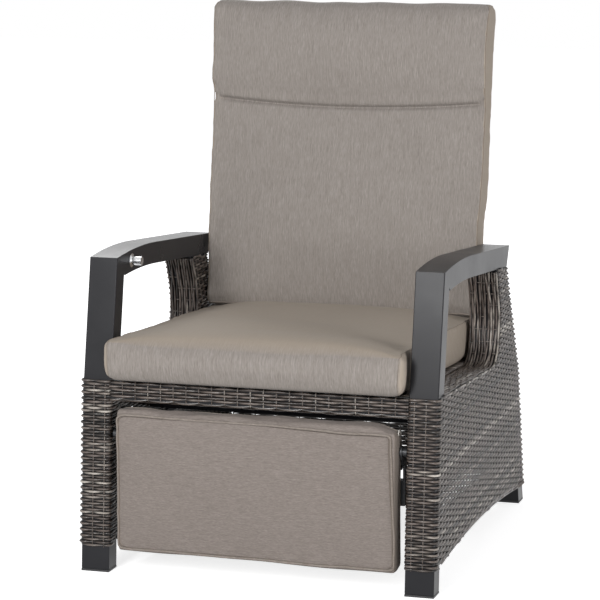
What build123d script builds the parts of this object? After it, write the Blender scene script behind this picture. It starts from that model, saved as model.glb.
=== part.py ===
from build123d import *
import os
from math import asin, atan2, cos, hypot, pi, radians, sin, sqrt, tan

os.makedirs("parts", exist_ok=True)

# Reclining garden armchair. +Z is up, the chair faces -Y, left (+X) is the sitter's left.
# The origin lies on the floor under the middle of the whole chair.

# Whole chair
overall_width = 720
overall_depth = 861
cushion_overhang = 30

# Legs, posts and arms: rectangular tube
tube_width = 58
tube_depth = 44
tube_wall = 2.5
rim_height = 381
rim_setback = 26
arm_corner_height = 620
arm_corner_setback = 70
arm_crown_radius = 1300
arm_rise = 5.3
arm_fall = 4.8
arm_end_setback = 184.3
arm_end_rake = 28
rear_knee_height = 303
rear_knee_setback = 79
rear_top_setback = 216
rear_top_height = 552
glide_thickness = 4
glide_insert = 18
glide_play = 0.2
end_cap_thickness = 3
end_cap_insert = 12

# Woven skin and the tubes that it is woven round
weave_thickness = 3.5
front_foot_height = 55
rear_foot_height = 37
arch_height = 70
arch_place_share = 0.45
rim_drop = 25
rim_slope_length = 444
wing_foot_reach = 145
wing_foot_share = 0.171
wing_belly_reach = 104.7
wing_belly_share = 0.454
wing_top_reach = 92.5
wing_corner_round_share = 0.447
wing_belly_round_share = 0.512
band_depth = 22

# Seat
apron_height = 41
apron_depth = 38
apron_setback = 23
cross_tube = 20
cross_wall = 2
deck_thickness = 5
deck_slope = 3
deck_rear_setback = 209
seat_side_gap = 3.5
seat_cushion_thickness = 93
cushion_rear_overhang = 38
seat_cushion_crown = 8
seat_side_draw = 5
seat_edge_radius = 20
soft_gap = 0.3

# Woven panel between the rear legs
rear_panel_low = 70
rear_panel_high = 285

# Backrest, built upright over its hinge axis and then leaned back
hinge_setback = 141
hinge_height = 370
back_lean = 6.3
hinge_tube_diameter = 28
hinge_tube_wall = 2
hinge_side_gap = 14.5
back_tube_size = 25
back_tube_wall = 2
back_side_gap = 30.5
back_top = 694
back_weave_bottom = 40
back_corner_radius = 50
back_slat_places = (150, 330, 510)
back_slat_share = 0.6

# Back cushion, measured up the backrest from the hinge axis
back_cushion_side_gap = 1.5
back_cushion_bottom = 86.5
back_cushion_top = 722
back_cushion_thickness = 70
back_channel_place = 512
back_channel_depth = 16
back_channel_opening = 26
head_roll_bulge = 15
head_roll_shoulder = 34
back_front_crown = 9
back_side_draw = 4
back_edge_radius = 16

# Strap round the backrest
strap_width = 38
strap_thickness = 2
strap_place = 494

# Footrest
foot_pivot_setback = 32
foot_pivot_height = 276
foot_cushion_side_gap = 17.5
foot_cushion_low = 56
foot_cushion_high = 322
foot_cushion_forward = 12
foot_cushion_thickness = 55
foot_cushion_crown = 6
foot_cushion_draw = 3
foot_edge_radius = 9
foot_frame_side_gap = 30.5
foot_frame_low = 76
foot_frame_high = 304
foot_frame_tube = 20
foot_slat_count = 2
tie_loop_radius = 9
tie_loop_sides = 12
tie_cord_diameter = 2.6
tie_drop_share = 1.4

# Linkage that drives the footrest from the backrest
lever_length = 70
lever_angle = 19
foot_lever_length = 35.5
foot_lever_angle = 40
link_plate_thickness = 4
foot_plate_gap = 8.5
rod_thickness = 6
rod_height = 13
rod_gap = 2
link_pin_diameter = 8
rod_slot_drop = 2.3
rod_slot_play = 2.9
rod_slot_side_play = 0.9
pin_play = 0.05
pin_head = 2
head_sides = 6
hinge_pin_diameter = 12
foot_pin_diameter = 10
hinge_pin_length = 36
hinge_bracket_thickness = 6
hinge_bracket_size = 50
bush_length = 20
plate_rim = 7
plate_play = 0.4
pin_gap = 0.3
rod_eye_share = 1.3
rod_waist_share = 1.1
plate_foot_drop_share = 1.7
plate_foot_share = 1.4
plate_eye_share = 0.7

# Lockable gas spring under the seat
gas_rail_reach = 440
gas_rail_height = 300
gas_rail_size = 25
hanger_thickness = 4
gas_clevis_reach = 36
gas_clevis_thickness = 4
gas_clevis_gap = 18
gas_pin_diameter = 10
gas_cylinder_diameter = 22
gas_cylinder_length = 222
gas_cylinder_end = 3
gas_rod_diameter = 10
gas_rod_play = 0.05
gas_rod_inside = 80
gas_eye_diameter = 22
gas_eye_width = 16
gas_lever_angle = 45
gas_eye_drop = 1.5
gas_eye_play = 2
gas_eye_reach = 0.75
gas_eye_side_play = 1.1
release_block_length = 30
release_block_height = 24
release_lever_length = 40
release_lever_thickness = 3
release_lever_width = 12
release_pin_diameter = 4
release_side_gap = 0.5

# Push button in the right arm
button_setback = 152
button_diameter = 17.5
button_proud = 18
button_dish = 1.2
button_play = 0.05
bezel_diameter = 28
bezel_thickness = 3
bezel_sleeve = 20
bezel_sleeve_length = 12
button_collar = 3

# One overrun for every cut that passes through
overrun = 20

front_y = -overall_depth / 2 + cushion_overhang
rear_y = overall_depth / 2
outer_x = overall_width / 2
inner_x = outer_x - tube_width
skin_x = inner_x - weave_thickness
seat_half_width = skin_x - seat_side_gap
hinge_tube_half_length = skin_x - hinge_side_gap
back_half_width = skin_x - back_side_gap
back_cushion_half_width = skin_x - back_cushion_side_gap
foot_cushion_half_width = skin_x - foot_cushion_side_gap
foot_frame_half_width = skin_x - foot_frame_side_gap


def back_from_front(setback):
    """Place behind the front of the front feet."""
    return front_y + setback


def beside(start, end, distance):
    """Line through two (y, z) points, moved to the right of its direction."""
    run, rise = end[0] - start[0], end[1] - start[1]
    length = hypot(run, rise)
    step_y, step_z = rise / length * distance, -run / length * distance
    return (start[0] + step_y, start[1] + step_z), (end[0] + step_y, end[1] + step_z)


def meet(first, second):
    """Crossing of two lines, each given by two (y, z) points."""
    (y1, z1), (y2, z2) = first
    (y3, z3), (y4, z4) = second
    spread = (y1 - y2) * (z3 - z4) - (z1 - z2) * (y3 - y4)
    one = y1 * z2 - z1 * y2
    two = y3 * z4 - z3 * y4
    return (one * (y3 - y4) - (y1 - y2) * two) / spread, (one * (z3 - z4) - (z1 - z2) * two) / spread


def level(height):
    """Level line across the side view."""
    return (front_y, height), (rear_y, height)


def along(start, end, distance):
    """Point on the line from start to end, a distance from start."""
    length = hypot(end[0] - start[0], end[1] - start[1])
    share = distance / length
    return start[0] + (end[0] - start[0]) * share, start[1] + (end[1] - start[1]) * share


def side_face(edges):
    """Face in the side view from edges made of (0, y, z) points."""
    return make_face(Wire(edges))


def spot(point):
    return (0, point[0], point[1])


def line(start, end):
    return Line(spot(start), spot(end)).edge()


def arc(start, middle, end):
    return ThreePointArc(spot(start), spot(middle), spot(end)).edge()


def polygon(points):
    return make_face(Polyline(*[spot(point) for point in points], close=True))


def across(face, x_from, x_to):
    """Solid with the given side view between two places across the chair."""
    return extrude(Pos(x_from, 0, 0) * face, x_to - x_from, dir=(1, 0, 0))


def block(x_range, y_range, z_range):
    """Box between two places along each axis."""
    size = [high - low for low, high in (x_range, y_range, z_range)]
    middle = [(high + low) / 2 for low, high in (x_range, y_range, z_range)]
    return Pos(*middle) * Box(*size)


def bar(x_from, x_to, y, z, diameter):
    """Round bar across the chair."""
    length = x_to - x_from
    return Pos((x_from + x_to) / 2, y, z) * Rot(0, 90, 0) * Cylinder(diameter / 2, length)


def turned(centre, length, angle):
    """Point at a length from a centre, angle in degrees rearward from straight down."""
    return centre[0] + length * sin(radians(angle)), centre[1] - length * cos(radians(angle))


def both(solid):
    """A solid and its mirror image on the other side of the chair."""
    return [solid, mirror(solid, Plane.YZ)]


# Points of the side view, front to rear
foot_front = (front_y, 0)
leg_bend = (back_from_front(rim_setback), rim_height)
arm_corner = (back_from_front(arm_corner_setback), arm_corner_height)
crown_centre = (
    arm_corner[0] + arm_crown_radius * sin(radians(arm_rise)),
    arm_corner[1] - arm_crown_radius * cos(radians(arm_rise)),
)
post_turn = asin((arm_corner[0] - leg_bend[0]) / hypot(arm_corner[0] - leg_bend[0],
                                                       arm_corner[1] - leg_bend[1]))
mitre_angle = (radians(90) - post_turn + radians(arm_rise)) / 2
mitre_end = (
    arm_corner[0] + tube_depth * cos(mitre_angle),
    arm_corner[1] - tube_depth * sin(mitre_angle),
)
foot_rear = (rear_y, 0)
knee = (rear_y - rear_knee_setback, rear_knee_height)
rear_top = (rear_y - rear_top_setback, rear_top_height)


def crown_point(radius, angle):
    """Point of the arm's crown, angle in degrees rearward from its summit."""
    return (
        crown_centre[0] + radius * sin(radians(angle)),
        crown_centre[1] + radius * cos(radians(angle)),
    )


arm_tail = (rear_y - arm_end_setback - crown_point(arm_crown_radius, arm_fall)[0]) / cos(radians(arm_fall))


def on_crown(cut_line, radius):
    """Upper crossing of a line with an arc of the crown."""
    (y1, z1), (y2, z2) = cut_line
    run, rise = y2 - y1, z2 - z1
    off_y, off_z = y1 - crown_centre[0], z1 - crown_centre[1]
    a = run ** 2 + rise ** 2
    b = 2 * (off_y * run + off_z * rise)
    c = off_y ** 2 + off_z ** 2 - radius ** 2
    roots = [(-b + sign * sqrt(b ** 2 - 4 * a * c)) / (2 * a) for sign in (1, -1)]
    return max(((y1 + run * root, z1 + rise * root) for root in roots), key=lambda point: point[1])


def leg_face(inset, base):
    """Side view of the front leg and arm post, drawn in all round by the inset."""
    mitre = beside(arm_corner, mitre_end, inset)
    edges = []
    for distance in (inset, tube_depth - inset):
        lower = beside(foot_front, leg_bend, distance)
        upper = beside(leg_bend, arm_corner, distance)
        edges.append([meet(lower, level(base)), meet(lower, upper), meet(upper, mitre)])
    return polygon(edges[0] + edges[1][::-1])


def arm_face(inset, tail):
    """Side view of the arm: crowned front stretch, straight tail and raked rear end."""
    mitre = beside(arm_corner, mitre_end, -inset)
    slope = (cos(radians(arm_fall)), -sin(radians(arm_fall)))
    top_radius = arm_crown_radius - inset
    low_radius = arm_crown_radius - tube_depth + inset
    top_start, low_start = on_crown(mitre, top_radius), on_crown(mitre, low_radius)
    top_tangent, low_tangent = crown_point(top_radius, arm_fall), crown_point(low_radius, arm_fall)
    full_tangent = crown_point(arm_crown_radius, arm_fall)
    end_top = (full_tangent[0] + tail * slope[0], full_tangent[1] + tail * slope[1])
    end_low = (end_top[0] - tube_depth * sin(radians(arm_end_rake)),
               end_top[1] - tube_depth * cos(radians(arm_end_rake)))

    def end_point(tangent):
        return meet((tangent, (tangent[0] + tail * slope[0], tangent[1] + tail * slope[1])),
                    (end_top, end_low))

    top_end, low_end = end_point(top_tangent), end_point(low_tangent)
    return side_face([
        arc(top_start, crown_point(top_radius, 0), top_tangent),
        line(top_tangent, top_end),
        line(top_end, low_end),
        line(low_end, low_tangent),
        arc(low_tangent, crown_point(low_radius, 0), low_start),
        line(low_start, top_start),
    ])


def arm_underside():
    """Straight rear stretch of the arm's lower face."""
    start = crown_point(arm_crown_radius - tube_depth, arm_fall)
    return start, (start[0] + cos(radians(arm_fall)) * arm_tail, start[1] - sin(radians(arm_fall)) * arm_tail)


def rear_leg_face(inset, base):
    """Side view of the bent rear leg, from the floor to the arm's underside."""
    edges = []
    top_line = beside(*arm_underside(), 0 if base == glide_thickness else inset)
    for distance in (-inset, inset - tube_depth):
        lower, upper = beside(foot_rear, knee, distance), beside(knee, rear_top, distance)
        edges.append([meet(lower, level(base)), meet(lower, upper), meet(upper, top_line)])
    return polygon(edges[0] + edges[1][::-1])


def corner_radius(before, corner, after, start):
    """Radius of a rounded corner whose arc starts at a given length from it."""
    turn_in = atan2(corner[1] - before[1], corner[0] - before[0])
    turn_out = atan2(after[1] - corner[1], after[0] - corner[0])
    return start / tan((turn_out - turn_in) / 2)


def side_frame_face():
    """Side view of the space that the side's tubes fill: panel, rim and wing."""
    under_arm = arm_underside()
    bottom_front = meet((foot_front, leg_bend), level(front_foot_height))
    bottom_rear = meet((foot_rear, knee), level(rear_foot_height))
    arch_top = (front_y + overall_depth * arch_place_share, arch_height)
    rear_corner = meet((knee, rear_top), under_arm)

    def wing_point(share, reach):
        height = rim_height + share * (rear_corner[1] - rim_height)
        return meet((knee, rear_top), level(height))[0] - reach, height

    wing_foot = wing_point(wing_foot_share, wing_foot_reach)
    wing_belly = wing_point(wing_belly_share, wing_belly_reach)
    wing_top = meet((wing_belly, wing_point(1, wing_top_reach)), under_arm)
    rim_end = (leg_bend[0] + rim_slope_length, rim_height - rim_drop)
    corner = meet((leg_bend, rim_end), (wing_foot, wing_belly))
    face = side_face([
        line(bottom_front, leg_bend),
        line(leg_bend, corner),
        line(corner, wing_belly),
        line(wing_belly, wing_top),
        line(wing_top, rear_corner),
        line(rear_corner, knee),
        line(knee, bottom_rear),
        arc(bottom_rear, arch_top, bottom_front),
    ])
    span = hypot(wing_belly[0] - corner[0], wing_belly[1] - corner[1])
    for before, point, after, share in (
        (leg_bend, corner, wing_belly, wing_corner_round_share),
        (corner, wing_belly, wing_top, wing_belly_round_share),
    ):
        nearest = face.vertices().sort_by_distance(spot(point))[0]
        face = fillet(nearest, corner_radius(before, point, after, span * share))
    return face


def grown(face, distance):
    """A side view drawn out or in all round by a distance."""
    flat = Plane.YZ.to_local_coords(face)
    return Plane.YZ * offset(flat, distance, kind=Kind.INTERSECTION)


def front_leg():
    outside = across(leg_face(0, glide_thickness), inner_x, outer_x)
    bore = across(leg_face(tube_wall, -overrun), inner_x + tube_wall, outer_x - tube_wall)
    return outside - bore


def rear_leg():
    outside = across(rear_leg_face(0, glide_thickness), inner_x, outer_x)
    bore = across(rear_leg_face(tube_wall, -overrun), inner_x + tube_wall, outer_x - tube_wall)
    return outside - bore


def arm():
    outside = across(arm_face(0, arm_tail), inner_x, outer_x)
    bore = across(arm_face(tube_wall, arm_tail + overrun), inner_x + tube_wall, outer_x - tube_wall)
    return outside - bore


def button_place():
    """Middle of the push button in side view, on the arm's middle line."""
    y = back_from_front(button_setback)
    middle_radius = arm_crown_radius - tube_depth / 2
    return y, crown_centre[1] + sqrt(middle_radius ** 2 - (y - crown_centre[0]) ** 2)


def foot_glides():
    """Plastic glide with an insert in the end of each leg."""
    glides = []
    bore_gap = tube_wall + glide_play
    for face, lower in ((leg_face, (foot_front, leg_bend)), (rear_leg_face, (foot_rear, knee))):
        sole = across(face(0, 0), inner_x, outer_x)
        sole = sole & block((0, outer_x), (front_y - overrun, rear_y + overrun), (0, glide_thickness))
        insert = across(face(bore_gap, 0), inner_x + bore_gap, outer_x - bore_gap)
        insert_top = glide_thickness + glide_insert
        insert = insert & block((0, outer_x), (front_y - overrun, rear_y + overrun), (0, insert_top))
        glides += both(sole + insert)
    return Compound(children=glides)


def arm_end_caps():
    """Plastic cap in the open rear end of each arm."""
    reach = tube_wall + glide_play
    slope = (cos(radians(arm_fall)), -sin(radians(arm_fall)))
    plate = across(arm_face(0, arm_tail + end_cap_thickness), inner_x, outer_x)
    plate -= across(arm_face(-overrun, arm_tail), inner_x - overrun, outer_x + overrun)
    insert = across(arm_face(reach, arm_tail + end_cap_thickness / 2), inner_x + reach, outer_x - reach)
    insert -= across(arm_face(-overrun, arm_tail - end_cap_insert), inner_x - overrun, outer_x + overrun)
    return Compound(children=both(plate + insert))


def leg_spaces():
    """Solids that fill the front and the rear leg."""
    return [
        across(leg_face(0, glide_thickness - overrun), inner_x, outer_x),
        across(rear_leg_face(0, glide_thickness), inner_x, outer_x),
    ]


def band_tube(region, near, far, x_gap):
    """Solid along the edge of the side frame, between two depths from that edge."""
    ring = across(grown(side_frame, -near) if near else side_frame, inner_x + x_gap, outer_x - x_gap)
    ring -= across(grown(side_frame, -far), inner_x, outer_x)
    return ring & region


def side_tubes():
    """Rim tube that curves up into the wing, and the arched lower side rail."""
    gap = across(side_frame, inner_x, outer_x)
    for leg in leg_spaces():
        gap -= leg
    split = (rim_height + arch_height) / 2
    upper = gap & block((0, outer_x), (front_y, rear_y), (split, arm_corner_height))
    lower = gap & block((0, outer_x), (front_y, rear_y), (0, split))
    tubes = []
    for region in (upper, lower):
        tube = band_tube(region, 0, band_depth, 0)
        tubes.append(tube - band_tube(region, cross_wall, band_depth - cross_wall, cross_wall))
    return tubes


def side_weave(passing):
    """Woven skin round the side's tubes, open where legs, arm and rails pass."""
    skin = across(grown(side_frame, weave_thickness), skin_x, outer_x + weave_thickness)
    skin -= across(side_frame, inner_x, outer_x)
    for solid in passing:
        skin -= solid
    start, end = arm_underside()
    end = (end[0] + overrun * cos(radians(arm_fall)), end[1] - overrun * sin(radians(arm_fall)))
    above = polygon([start, end, (end[0], end[1] + tube_depth), (start[0], start[1] + tube_depth)])
    return skin - across(above, inner_x - overrun, outer_x + overrun)


def square_tube(x_half, y_from, z_from, size, wall):
    """Square tube across the chair, open at both ends."""
    tube = block((-x_half, x_half), (y_from, y_from + size), (z_from, z_from + size))
    bore = block((-x_half - overrun, x_half + overrun), (y_from + wall, y_from + size - wall),
                 (z_from + wall, z_from + size - wall))
    return tube - bore


def seat_drop(y):
    """How far the seat plane has dropped at a place behind the apron."""
    return (y - apron_rear) * tan(radians(deck_slope))


seat_top = rim_height + weave_thickness
apron_top = seat_top
apron_bottom = apron_top - apron_height
apron_front = back_from_front(apron_setback) - weave_thickness
apron_rear = apron_front + apron_depth
deck_rear = rear_y - deck_rear_setback


def front_seat_rail():
    y_range = (apron_front + weave_thickness, apron_rear - weave_thickness)
    z_range = (apron_bottom + weave_thickness, apron_top - weave_thickness)
    rail = block((-inner_x, inner_x), y_range, z_range)
    bore = block((-inner_x - overrun, inner_x + overrun),
                 (y_range[0] + cross_wall, y_range[1] - cross_wall),
                 (z_range[0] + cross_wall, z_range[1] - cross_wall))
    return rail - bore


def front_apron_weave():
    shell = block((-skin_x, skin_x), (apron_front, apron_rear), (apron_bottom, apron_top))
    return shell - block((-inner_x, inner_x),
                         (apron_front + weave_thickness, apron_rear - weave_thickness),
                         (apron_bottom + weave_thickness, apron_top - weave_thickness))


def seat_plane_face(drop, height, y_from, y_to):
    """Side view of a slab parallel to the seat, a drop below the seat plane."""
    return polygon([
        (y_from, seat_top - seat_drop(y_from) - drop),
        (y_to, seat_top - seat_drop(y_to) - drop),
        (y_to, seat_top - seat_drop(y_to) - drop - height),
        (y_from, seat_top - seat_drop(y_from) - drop - height),
    ])


def seat_side_rail():
    y_to = deck_rear - cross_tube
    rail = across(seat_plane_face(deck_thickness, cross_tube, apron_rear, y_to),
                  skin_x - cross_tube, skin_x)
    bore = across(seat_plane_face(deck_thickness + cross_wall, cross_tube - 2 * cross_wall,
                                  apron_rear - overrun, y_to + overrun),
                  skin_x - cross_tube + cross_wall, skin_x - cross_wall)
    return rail - bore


def rear_seat_rail():
    rail = across(seat_plane_face(deck_thickness, cross_tube, deck_rear - cross_tube, deck_rear),
                  -skin_x, skin_x)
    bore = across(seat_plane_face(deck_thickness + cross_wall, cross_tube - 2 * cross_wall,
                                  deck_rear - cross_tube + cross_wall, deck_rear - cross_wall),
                  -skin_x - overrun, skin_x + overrun)
    return rail - bore


def seat_deck():
    return across(seat_plane_face(0, deck_thickness, apron_rear, deck_rear), -skin_x, skin_x)


def rounded(face, radius):
    return fillet(face.vertices(), radius)


def drawn_in(half_width, start, end, draw, depth_axis):
    """Outline with its four sides curved inward between the corners, level or upright."""
    middle = (start + end) / 2

    def place(x, along_way):
        return (x, along_way, 0) if depth_axis else (x, 0, along_way)

    return make_face(Wire([
        ThreePointArc(place(-half_width, start), place(0, start + draw / 2),
                      place(half_width, start)).edge(),
        ThreePointArc(place(half_width, start), place(half_width - draw, middle),
                      place(half_width, end)).edge(),
        ThreePointArc(place(half_width, end), place(0, end - draw / 2), place(-half_width, end)).edge(),
        ThreePointArc(place(-half_width, end), place(draw - half_width, middle),
                      place(-half_width, start)).edge(),
    ]))


def box_cushion(half_width, length, thickness, crown, draw, radius):
    """Cushion lying flat, front at y 0: crowned top, bulging front and drawn-in sides."""
    plan = rounded(drawn_in(half_width, 0, length, draw, True), radius)
    body = extrude(plan, thickness + crown, dir=(0, 0, 1))
    front_view = make_face(Wire([
        Line((-half_width, 0, 0), (half_width, 0, 0)).edge(),
        Line((half_width, 0, 0), (half_width, 0, thickness)).edge(),
        ThreePointArc((half_width, 0, thickness), (0, 0, thickness + crown),
                      (-half_width, 0, thickness)).edge(),
        Line((-half_width, 0, thickness), (-half_width, 0, 0)).edge(),
    ]))
    body &= extrude(rounded(front_view, radius), length, dir=(0, 1, 0))
    side_view = side_face([
        line((crown, 0), (length - crown, 0)),
        arc((length - crown, 0), (length, thickness / 2), (length - crown, thickness + crown)),
        line((length - crown, thickness + crown), (crown, thickness + crown)),
        arc((crown, thickness + crown), (0, thickness / 2), (crown, 0)),
    ])
    return body & across(rounded(side_view, radius), -half_width, half_width)


def seat_cushion():
    start = front_y - cushion_overhang
    body = box_cushion(seat_half_width, deck_rear + cushion_rear_overhang - start,
                       seat_cushion_thickness, seat_cushion_crown, seat_side_draw, seat_edge_radius)
    place = Pos(0, start, seat_top + soft_gap - seat_drop(start)) * Rot(-deck_slope, 0, 0)
    return place * body


def rear_rail_place():
    """Front lower corner of the square tube at the bottom of the rear panel."""
    line_rear = beside(foot_rear, knee, -weave_thickness)
    corner = meet(line_rear, level(rear_panel_low + weave_thickness))
    return corner[0] - cross_tube, rear_panel_low + weave_thickness


def rear_lower_rail():
    y, z = rear_rail_place()
    return square_tube(inner_x, y, z, cross_tube, cross_wall)


def rear_panel_weave():
    """Thin woven panel between the rear legs, folded round the rail at its foot."""
    skins = [beside(foot_rear, knee, distance) for distance in (0, -weave_thickness)]
    low, high = level(rear_panel_low), level(rear_panel_high)
    fold = level(rear_panel_low + cross_tube + 2 * weave_thickness)
    sheet = across(polygon([meet(skins[0], low), meet(skins[0], high),
                            meet(skins[1], high), meet(skins[1], low)]), -skin_x, skin_x)
    wrap_front = rear_rail_place()[0] - weave_thickness
    wrap = across(polygon([(wrap_front, low[0][1]), meet(skins[0], low),
                            meet(skins[0], fold), (wrap_front, fold[0][1])]), -skin_x, skin_x)
    y, z = rear_rail_place()
    return sheet + wrap - block((-inner_x, inner_x), (y, y + cross_tube), (z, z + cross_tube))


def rounded_plate_face(half_width, low, high, radius):
    """Front view of a panel, rounded at its two upper corners."""
    return make_face(Wire([
        Line((-half_width, 0, low), (half_width, 0, low)).edge(),
        Line((half_width, 0, low), (half_width, 0, high - radius)).edge(),
        ThreePointArc((half_width, 0, high - radius),
                      (half_width - radius * (1 - cos(pi / 4)), 0, high - radius * (1 - sin(pi / 4))),
                      (half_width - radius, 0, high)).edge(),
        Line((half_width - radius, 0, high), (radius - half_width, 0, high)).edge(),
        ThreePointArc((radius - half_width, 0, high),
                      (radius * (1 - cos(pi / 4)) - half_width, 0, high - radius * (1 - sin(pi / 4))),
                      (-half_width, 0, high - radius)).edge(),
        Line((-half_width, 0, high - radius), (-half_width, 0, low)).edge(),
    ]))


def slab(face, y_from, y_to):
    """Solid with the given front view between two depths."""
    return extrude(Pos(0, y_from, 0) * face, y_to - y_from, dir=(0, 1, 0))


hinge = (rear_y - hinge_setback, hinge_height)
back_place = Pos(0, hinge[0], hinge[1]) * Rot(-back_lean, 0, 0)
back_skin = back_tube_size / 2 + weave_thickness


def backrest_bow(inset):
    """Solid of the backrest's bent square tube, drawn in all round by the inset."""
    near = back_tube_size / 2 - inset
    out = weave_thickness + inset
    inward = weave_thickness + back_tube_size - inset
    outside = rounded_plate_face(back_half_width - out, 0, back_top - out, back_corner_radius - out)
    inside = rounded_plate_face(back_half_width - inward, -overrun, back_top - inward,
                                back_corner_radius - inward)
    return slab(outside, -near, near) - slab(inside, -near - overrun, near + overrun)


def backrest_frame():
    """Hinge tube with a bow of square tube and three slats, welded together."""
    frame = backrest_bow(0) - backrest_bow(back_tube_wall)
    reach = back_half_width - weave_thickness - back_tube_size + back_tube_wall / 2
    slat = back_tube_size * back_slat_share / 2
    for place in back_slat_places:
        frame += block((-reach, reach), (-slat, slat), (place - slat, place + slat))
    frame += bar(-hinge_tube_half_length, hinge_tube_half_length, 0, 0, hinge_tube_diameter)
    inside = hinge_tube_diameter - 2 * hinge_tube_wall
    bore = bar(-hinge_tube_half_length - overrun, hinge_tube_half_length + overrun, 0, 0, inside)
    return back_place * (frame - bore)


def backrest_weave():
    """Woven skins on the front and rear of the backrest, closed round its bow."""
    outside = slab(rounded_plate_face(back_half_width, back_weave_bottom, back_top, back_corner_radius),
                   -back_skin, back_skin)
    inside = slab(rounded_plate_face(back_half_width - weave_thickness, back_weave_bottom - overrun,
                                     back_top - weave_thickness, back_corner_radius - weave_thickness),
                  -back_tube_size / 2, back_tube_size / 2)
    return back_place * (outside - inside)


def pad(side_view, face_y, rear_y, low, high, radius):
    """Part of the back cushion: a side view, crowned across and rounded at its edges."""
    half = back_cushion_half_width
    top_view = make_face(Wire([
        Line((-half, rear_y, 0), (half, rear_y, 0)).edge(),
        Line((half, rear_y, 0), (half, face_y + back_front_crown, 0)).edge(),
        ThreePointArc((half, face_y + back_front_crown, 0), (0, face_y, 0),
                      (-half, face_y + back_front_crown, 0)).edge(),
        Line((-half, face_y + back_front_crown, 0), (-half, rear_y, 0)).edge(),
    ]))
    column = extrude(rounded(top_view, radius), high - low, dir=(0, 0, 1))
    return across(side_view, -half, half) & Pos(0, 0, low) * column


def back_cushion():
    """Cushion with a head roll over a sewn channel, crowned front and drawn-in sides."""
    rear = -back_skin - soft_gap
    face = rear - back_cushion_thickness
    roll = face - head_roll_bulge
    low, high = back_cushion_bottom, back_cushion_top
    channel = (face + back_channel_depth, back_channel_place)
    body_top = (face + back_channel_depth / 2, back_channel_place - back_channel_opening)
    body_low = (face + back_front_crown, low + back_edge_radius)
    lower_view = side_face([
        line((rear, low), (face + back_front_crown + back_edge_radius, low)),
        line((face + back_front_crown + back_edge_radius, low), body_low),
        arc(body_low, (face, (low + channel[1]) / 2), body_top),
        line(body_top, channel),
        line(channel, (rear, channel[1])),
        line((rear, channel[1]), (rear, low)),
    ])
    shoulder = (face, high - head_roll_shoulder)
    roll_top = (face + head_roll_shoulder, high)
    turn = head_roll_shoulder * (1 - cos(pi / 4))
    roll_view = side_face([
        line((rear, channel[1]), channel),
        arc(channel, (roll, (channel[1] + high) / 2 - back_channel_opening), shoulder),
        arc(shoulder, (face + turn, high - turn), roll_top),
        line(roll_top, (rear - back_edge_radius, high)),
        line((rear - back_edge_radius, high), (rear, high - back_edge_radius)),
        line((rear, high - back_edge_radius), (rear, channel[1])),
    ])
    body = pad(lower_view, face, rear, low, channel[1], back_edge_radius)
    body += pad(roll_view, roll, rear, channel[1], high, back_edge_radius)
    outline = rounded(drawn_in(back_cushion_half_width, low, high, back_side_draw, False),
                      back_edge_radius)
    body &= slab(outline, roll, rear)
    return back_place * body


def cushion_strap():
    """Flat webbing round the rear of the backrest, from one rear edge of the cushion to the other."""
    near, far = -back_skin - soft_gap, back_skin + soft_gap
    reach, bend = back_half_width + soft_gap, strap_thickness
    outside = [(-reach - bend, near), (-reach - bend, far), (-reach, far + bend),
               (reach, far + bend), (reach + bend, far), (reach + bend, near)]
    inside = [(reach, near), (reach, far), (-reach, far), (-reach, near)]
    outline = Polyline(*[(x, y, 0) for x, y in outside + inside], close=True)
    band = extrude(make_face(outline), strap_width, dir=(0, 0, 1))
    return back_place * Pos(0, 0, strap_place - strap_width / 2) * band


# Linkage between the backrest and the footrest
foot_pivot = (back_from_front(foot_pivot_setback), foot_pivot_height)
back_link = turned(hinge, lever_length, lever_angle)
foot_link = turned(foot_pivot, foot_lever_length, foot_lever_angle)
back_plate_x = hinge_tube_half_length
rod_x = back_plate_x - rod_gap - rod_thickness
foot_plate_x = skin_x - foot_plate_gap - link_plate_thickness


def hinge_bushes():
    """Plastic bushes in the ends of the hinge tube."""
    inner = hinge_tube_half_length - bush_length
    bush = bar(inner, hinge_tube_half_length, *hinge, hinge_tube_diameter - 2 * hinge_tube_wall)
    bush -= bar(inner - overrun, hinge_tube_half_length + overrun, *hinge,
                hinge_pin_diameter + 2 * pin_play)
    return Compound(children=both(bush))


def hinge_brackets():
    """Bracket plates on the rear legs that hold the backrest's hinge pins."""
    half = hinge_bracket_size / 2
    plate = block((skin_x - hinge_bracket_thickness, skin_x),
                  (hinge[0] - half, hinge[0] + half), (hinge[1] - half, hinge[1] + half))
    plate = chamfer(plate.edges().filter_by(Axis.X), plate_rim)
    hole = bar(skin_x - hinge_bracket_thickness - overrun, skin_x + overrun, *hinge, hinge_pin_diameter)
    return Compound(children=both(plate - hole))


def hinge_pins():
    pin = bar(skin_x - hinge_pin_length, skin_x, *hinge, hinge_pin_diameter)
    return Compound(children=both(pin))


def tapered_link(start, start_radius, end, end_radius, x_from, x_to, round_start=True):
    """Flat link plate with a round end, and a second one at its start unless that is left straight."""
    ends = bar(x_from, x_to, *end, 2 * end_radius)
    if round_start:
        ends += bar(x_from, x_to, *start, 2 * start_radius)
    run, rise = end[0] - start[0], end[1] - start[1]
    length = hypot(run, rise)
    lean = asin((start_radius - end_radius) / length)
    corners = []
    for side in (1, -1):
        for centre, radius in ((start, start_radius), (end, end_radius)):
            out = (run / length * sin(lean) - side * rise / length * cos(lean),
                   rise / length * sin(lean) + side * run / length * cos(lean))
            corners.append((centre[0] + out[0] * radius, centre[1] + out[1] * radius))
    web = across(polygon([corners[0], corners[1], corners[3], corners[2]]), x_from, x_to)
    return ends + web


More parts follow.
